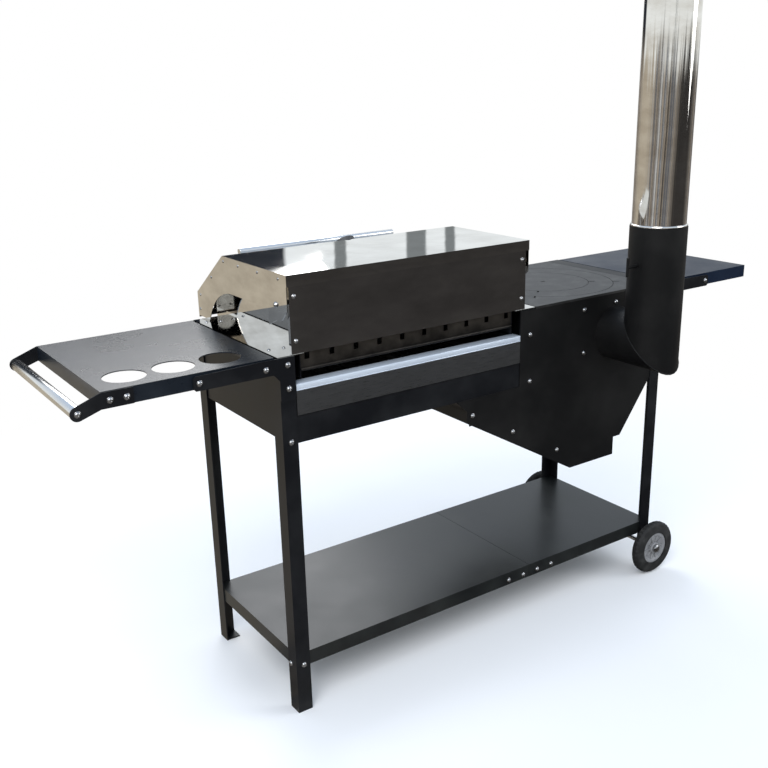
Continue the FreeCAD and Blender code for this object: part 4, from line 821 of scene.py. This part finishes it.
class CART_OT_stage(bpy.types.Operator):
    """Build the floor, the sky, the lamps and the camera"""

    bl_idname = "cart.stage"
    bl_label = "Stage"
    floor_half = 14.0
    fade = (1.1, 2.3)
    shed_bearings = (61.7, 96.0)
    posts = ((58.4, 0.005), (53.9, 0.009), (51.9, 0.004))
    camera_place = (-880.4, -1686.0, 1390.3)
    heading, dip, roll = -34.803, -18.252, -1.133
    sensor, lens, shift = 36.0, 45.457, (-0.0172, 0.0127)

    def execute(self, context):
        self.floor()
        self.sky(context.scene)
        self.lamps()
        self.camera(context.scene)
        context.scene.view_settings.view_transform = "Standard"
        return {"FINISHED"}

    def floor(self):
        """A pale floor that fades to white; mirrors see a yard of dim paving instead."""
        bm = bmesh.new()
        bmesh.ops.create_grid(bm, x_segments=2, y_segments=2, size=self.floor_half)
        mesh = bpy.data.meshes.new("studio_floor")
        bm.to_mesh(mesh)
        bm.free()
        floor = bpy.data.objects.new("studio_floor", mesh)
        bpy.context.scene.collection.objects.link(floor)
        material, paper = new_finish("pale_floor")
        here = paper.place()
        far = paper.add("ShaderNodeVectorMath", {"operation": "LENGTH"}, {0: here}, output=1)
        cloud = paper.noise(0.6, 2.0, 0.5)
        sheet = paper.add("ShaderNodeBsdfPrincipled", inputs={
            "Base Color": paper.tint(cloud, (0.86, 0.86, 0.86), (0.9, 0.9, 0.9)), "Roughness": 0.8})
        white = paper.add("ShaderNodeEmission", inputs={"Color": (1, 1, 1, 1), "Strength": 1.0})
        fade = paper.range(far, *self.fade)
        pale = paper.add("ShaderNodeMixShader", inputs={0: fade, 1: sheet, 2: white})
        slabs = paper.add("ShaderNodeTexBrick", inputs={
            "Vector": here, "Color1": (0.048, 0.045, 0.043, 1), "Color2": (0.041, 0.038, 0.037, 1),
            "Mortar": (0.033, 0.031, 0.03, 1), "Scale": 1.0, "Mortar Size": 0.02, "Brick Width": 0.42,
            "Row Height": 0.3})
        paving = yard(paper, here, slabs)
        mirrored = paper.add("ShaderNodeEmission", inputs={"Color": paving, "Strength": 1.0})
        glossy = paper.add("ShaderNodeLightPath", output=3)
        both = paper.add("ShaderNodeMixShader", inputs={0: glossy, 1: pale, 2: mirrored})
        paper.add("ShaderNodeOutputMaterial", inputs={"Surface": both})
        mesh.materials.append(material)

    def sky(self, scene):
        """White to the eye; in reflections a pale sky with posts and a shed over uneven walls."""
        world = bpy.data.worlds.new("studio_sky")
        scene.world = world
        world.use_nodes = True
        air = Finish(world.node_tree)
        way = air.add("ShaderNodeTexCoord", output=0)
        height = air.axis("Z", way)
        walls = yard(air, way, (0.035, 0.033, 0.032))
        lumps = air.noise(0.22, 4.0, 0.6, way)
        trees = air.range(0.03 - height + (lumps - 0.5) * 0.2, 0.0, 0.03)
        sky = air.tint(air.range(height, 0.05, 0.7), (0.97, 1.0, 0.99), (0.62, 0.74, 0.92))
        low_sky = air.range(height, 0.34, 0.42, 1.0, 0.0)
        for bearing, width in self.posts:
            post = air.range(air.size(across(air, way, bearing)), width, width + 0.002, 0.85, 0.0)
            sky = air.tint(post * low_sky, sky, (0.10, 0.115, 0.12))
        near_end, far_end = (across(air, way, bearing) for bearing in self.shed_bearings)
        shed = air.range(near_end, -0.002, 0.002) * low_sky * air.range(far_end, -0.05, 0.05, 1.0, 0.0)
        sky = air.tint(shed, sky, (0.022, 0.026, 0.034))
        seen = air.tint(trees, sky, walls)
        rays = air.add("ShaderNodeLightPath", output=0)
        reflected = air.add("ShaderNodeBackground", inputs={"Color": seen, "Strength": 1.0})
        white = air.add("ShaderNodeBackground", inputs={"Color": (1, 1, 1, 1), "Strength": 1.0})
        both = air.add("ShaderNodeMixShader", inputs={0: rays, 1: reflected, 2: white})
        air.add("ShaderNodeOutputWorld", inputs={"Surface": both})

    @staticmethod
    def lamps():
        for name, place, aim, size, power in (
            ("key_soft", (-2.6, -2.2, 3.4), (0, 0, 0.8), 2.4, 110),
            ("fill_soft", (3.2, -2.6, 2.4), (0.2, 0, 0.8), 2.0, 45),
            ("back_soft", (0.8, 3.2, 3.0), (0, 0, 0.8), 2.4, 70),
        ):
            lamp = bpy.data.lights.new(name, "AREA")
            lamp.size = size
            lamp.energy = power
            holder = bpy.data.objects.new(name, lamp)
            holder.matrix_world = towards(Vector(place) - Vector(aim), Vector(place))
            bpy.context.scene.collection.objects.link(holder)

    def camera(self, scene):
        """The view over the push handle, from the chimney's side."""
        heading, dip, roll = (math.radians(angle) for angle in (self.heading, self.dip, self.roll))
        side = Vector((math.cos(heading), math.sin(heading), 0))
        ahead = Vector((-side.y, side.x, 0))
        look = ahead * math.cos(dip) + Vector((0, 0, math.sin(dip)))
        top = side.cross(look)
        right = side * math.cos(roll) + top * math.sin(roll)
        up = top * math.cos(roll) - side * math.sin(roll)
        lens = bpy.data.cameras.new("view_camera")
        lens.sensor_width = self.sensor
        lens.lens = self.lens
        lens.shift_x, lens.shift_y = self.shift
        holder = bpy.data.objects.new("view_camera", lens)
        turn = Matrix((right, up, -look)).transposed().to_4x4()
        holder.matrix_world = Matrix.Translation(spot(*self.camera_place)) @ turn
        scene.collection.objects.link(holder)
        scene.camera = holder


class CART_PT_panel(bpy.types.Panel):
    """The cart's sizes and builders"""

    bl_idname = "CART_PT_panel"
    bl_label = "Barbecue Cart"
    bl_space_type = "VIEW_3D"
    bl_region_type = "UI"
    bl_category = "Barbecue Cart"

    def draw(self, context):
        looks = context.scene.cart_looks
        for name in CartLooks.__annotations__:
            self.layout.prop(looks, name)
        for builder in BUILDERS:
            self.layout.operator(builder.bl_idname)


BUILDERS = (CART_OT_finishes, CART_OT_wheels, CART_OT_bolts, CART_OT_chimney, CART_OT_grips,
            CART_OT_trims, CART_OT_stage)


def register():
    for cls in (CartLooks, *BUILDERS, CART_PT_panel):
        bpy.utils.register_class(cls)
    bpy.types.Scene.cart_looks = bpy.props.PointerProperty(type=CartLooks)


def unregister():
    del bpy.types.Scene.cart_looks
    for cls in (CART_PT_panel, *reversed(BUILDERS), CartLooks):
        bpy.utils.unregister_class(cls)


def main():
    """Build everything in order."""
    register()
    bpy.ops.cart.finishes()
    bpy.ops.cart.wheels()
    bpy.ops.cart.bolts()
    bpy.ops.cart.chimney()
    bpy.ops.cart.grips()
    bpy.ops.cart.trims()
    bpy.ops.cart.stage()


if __name__ == "__main__":
    main()
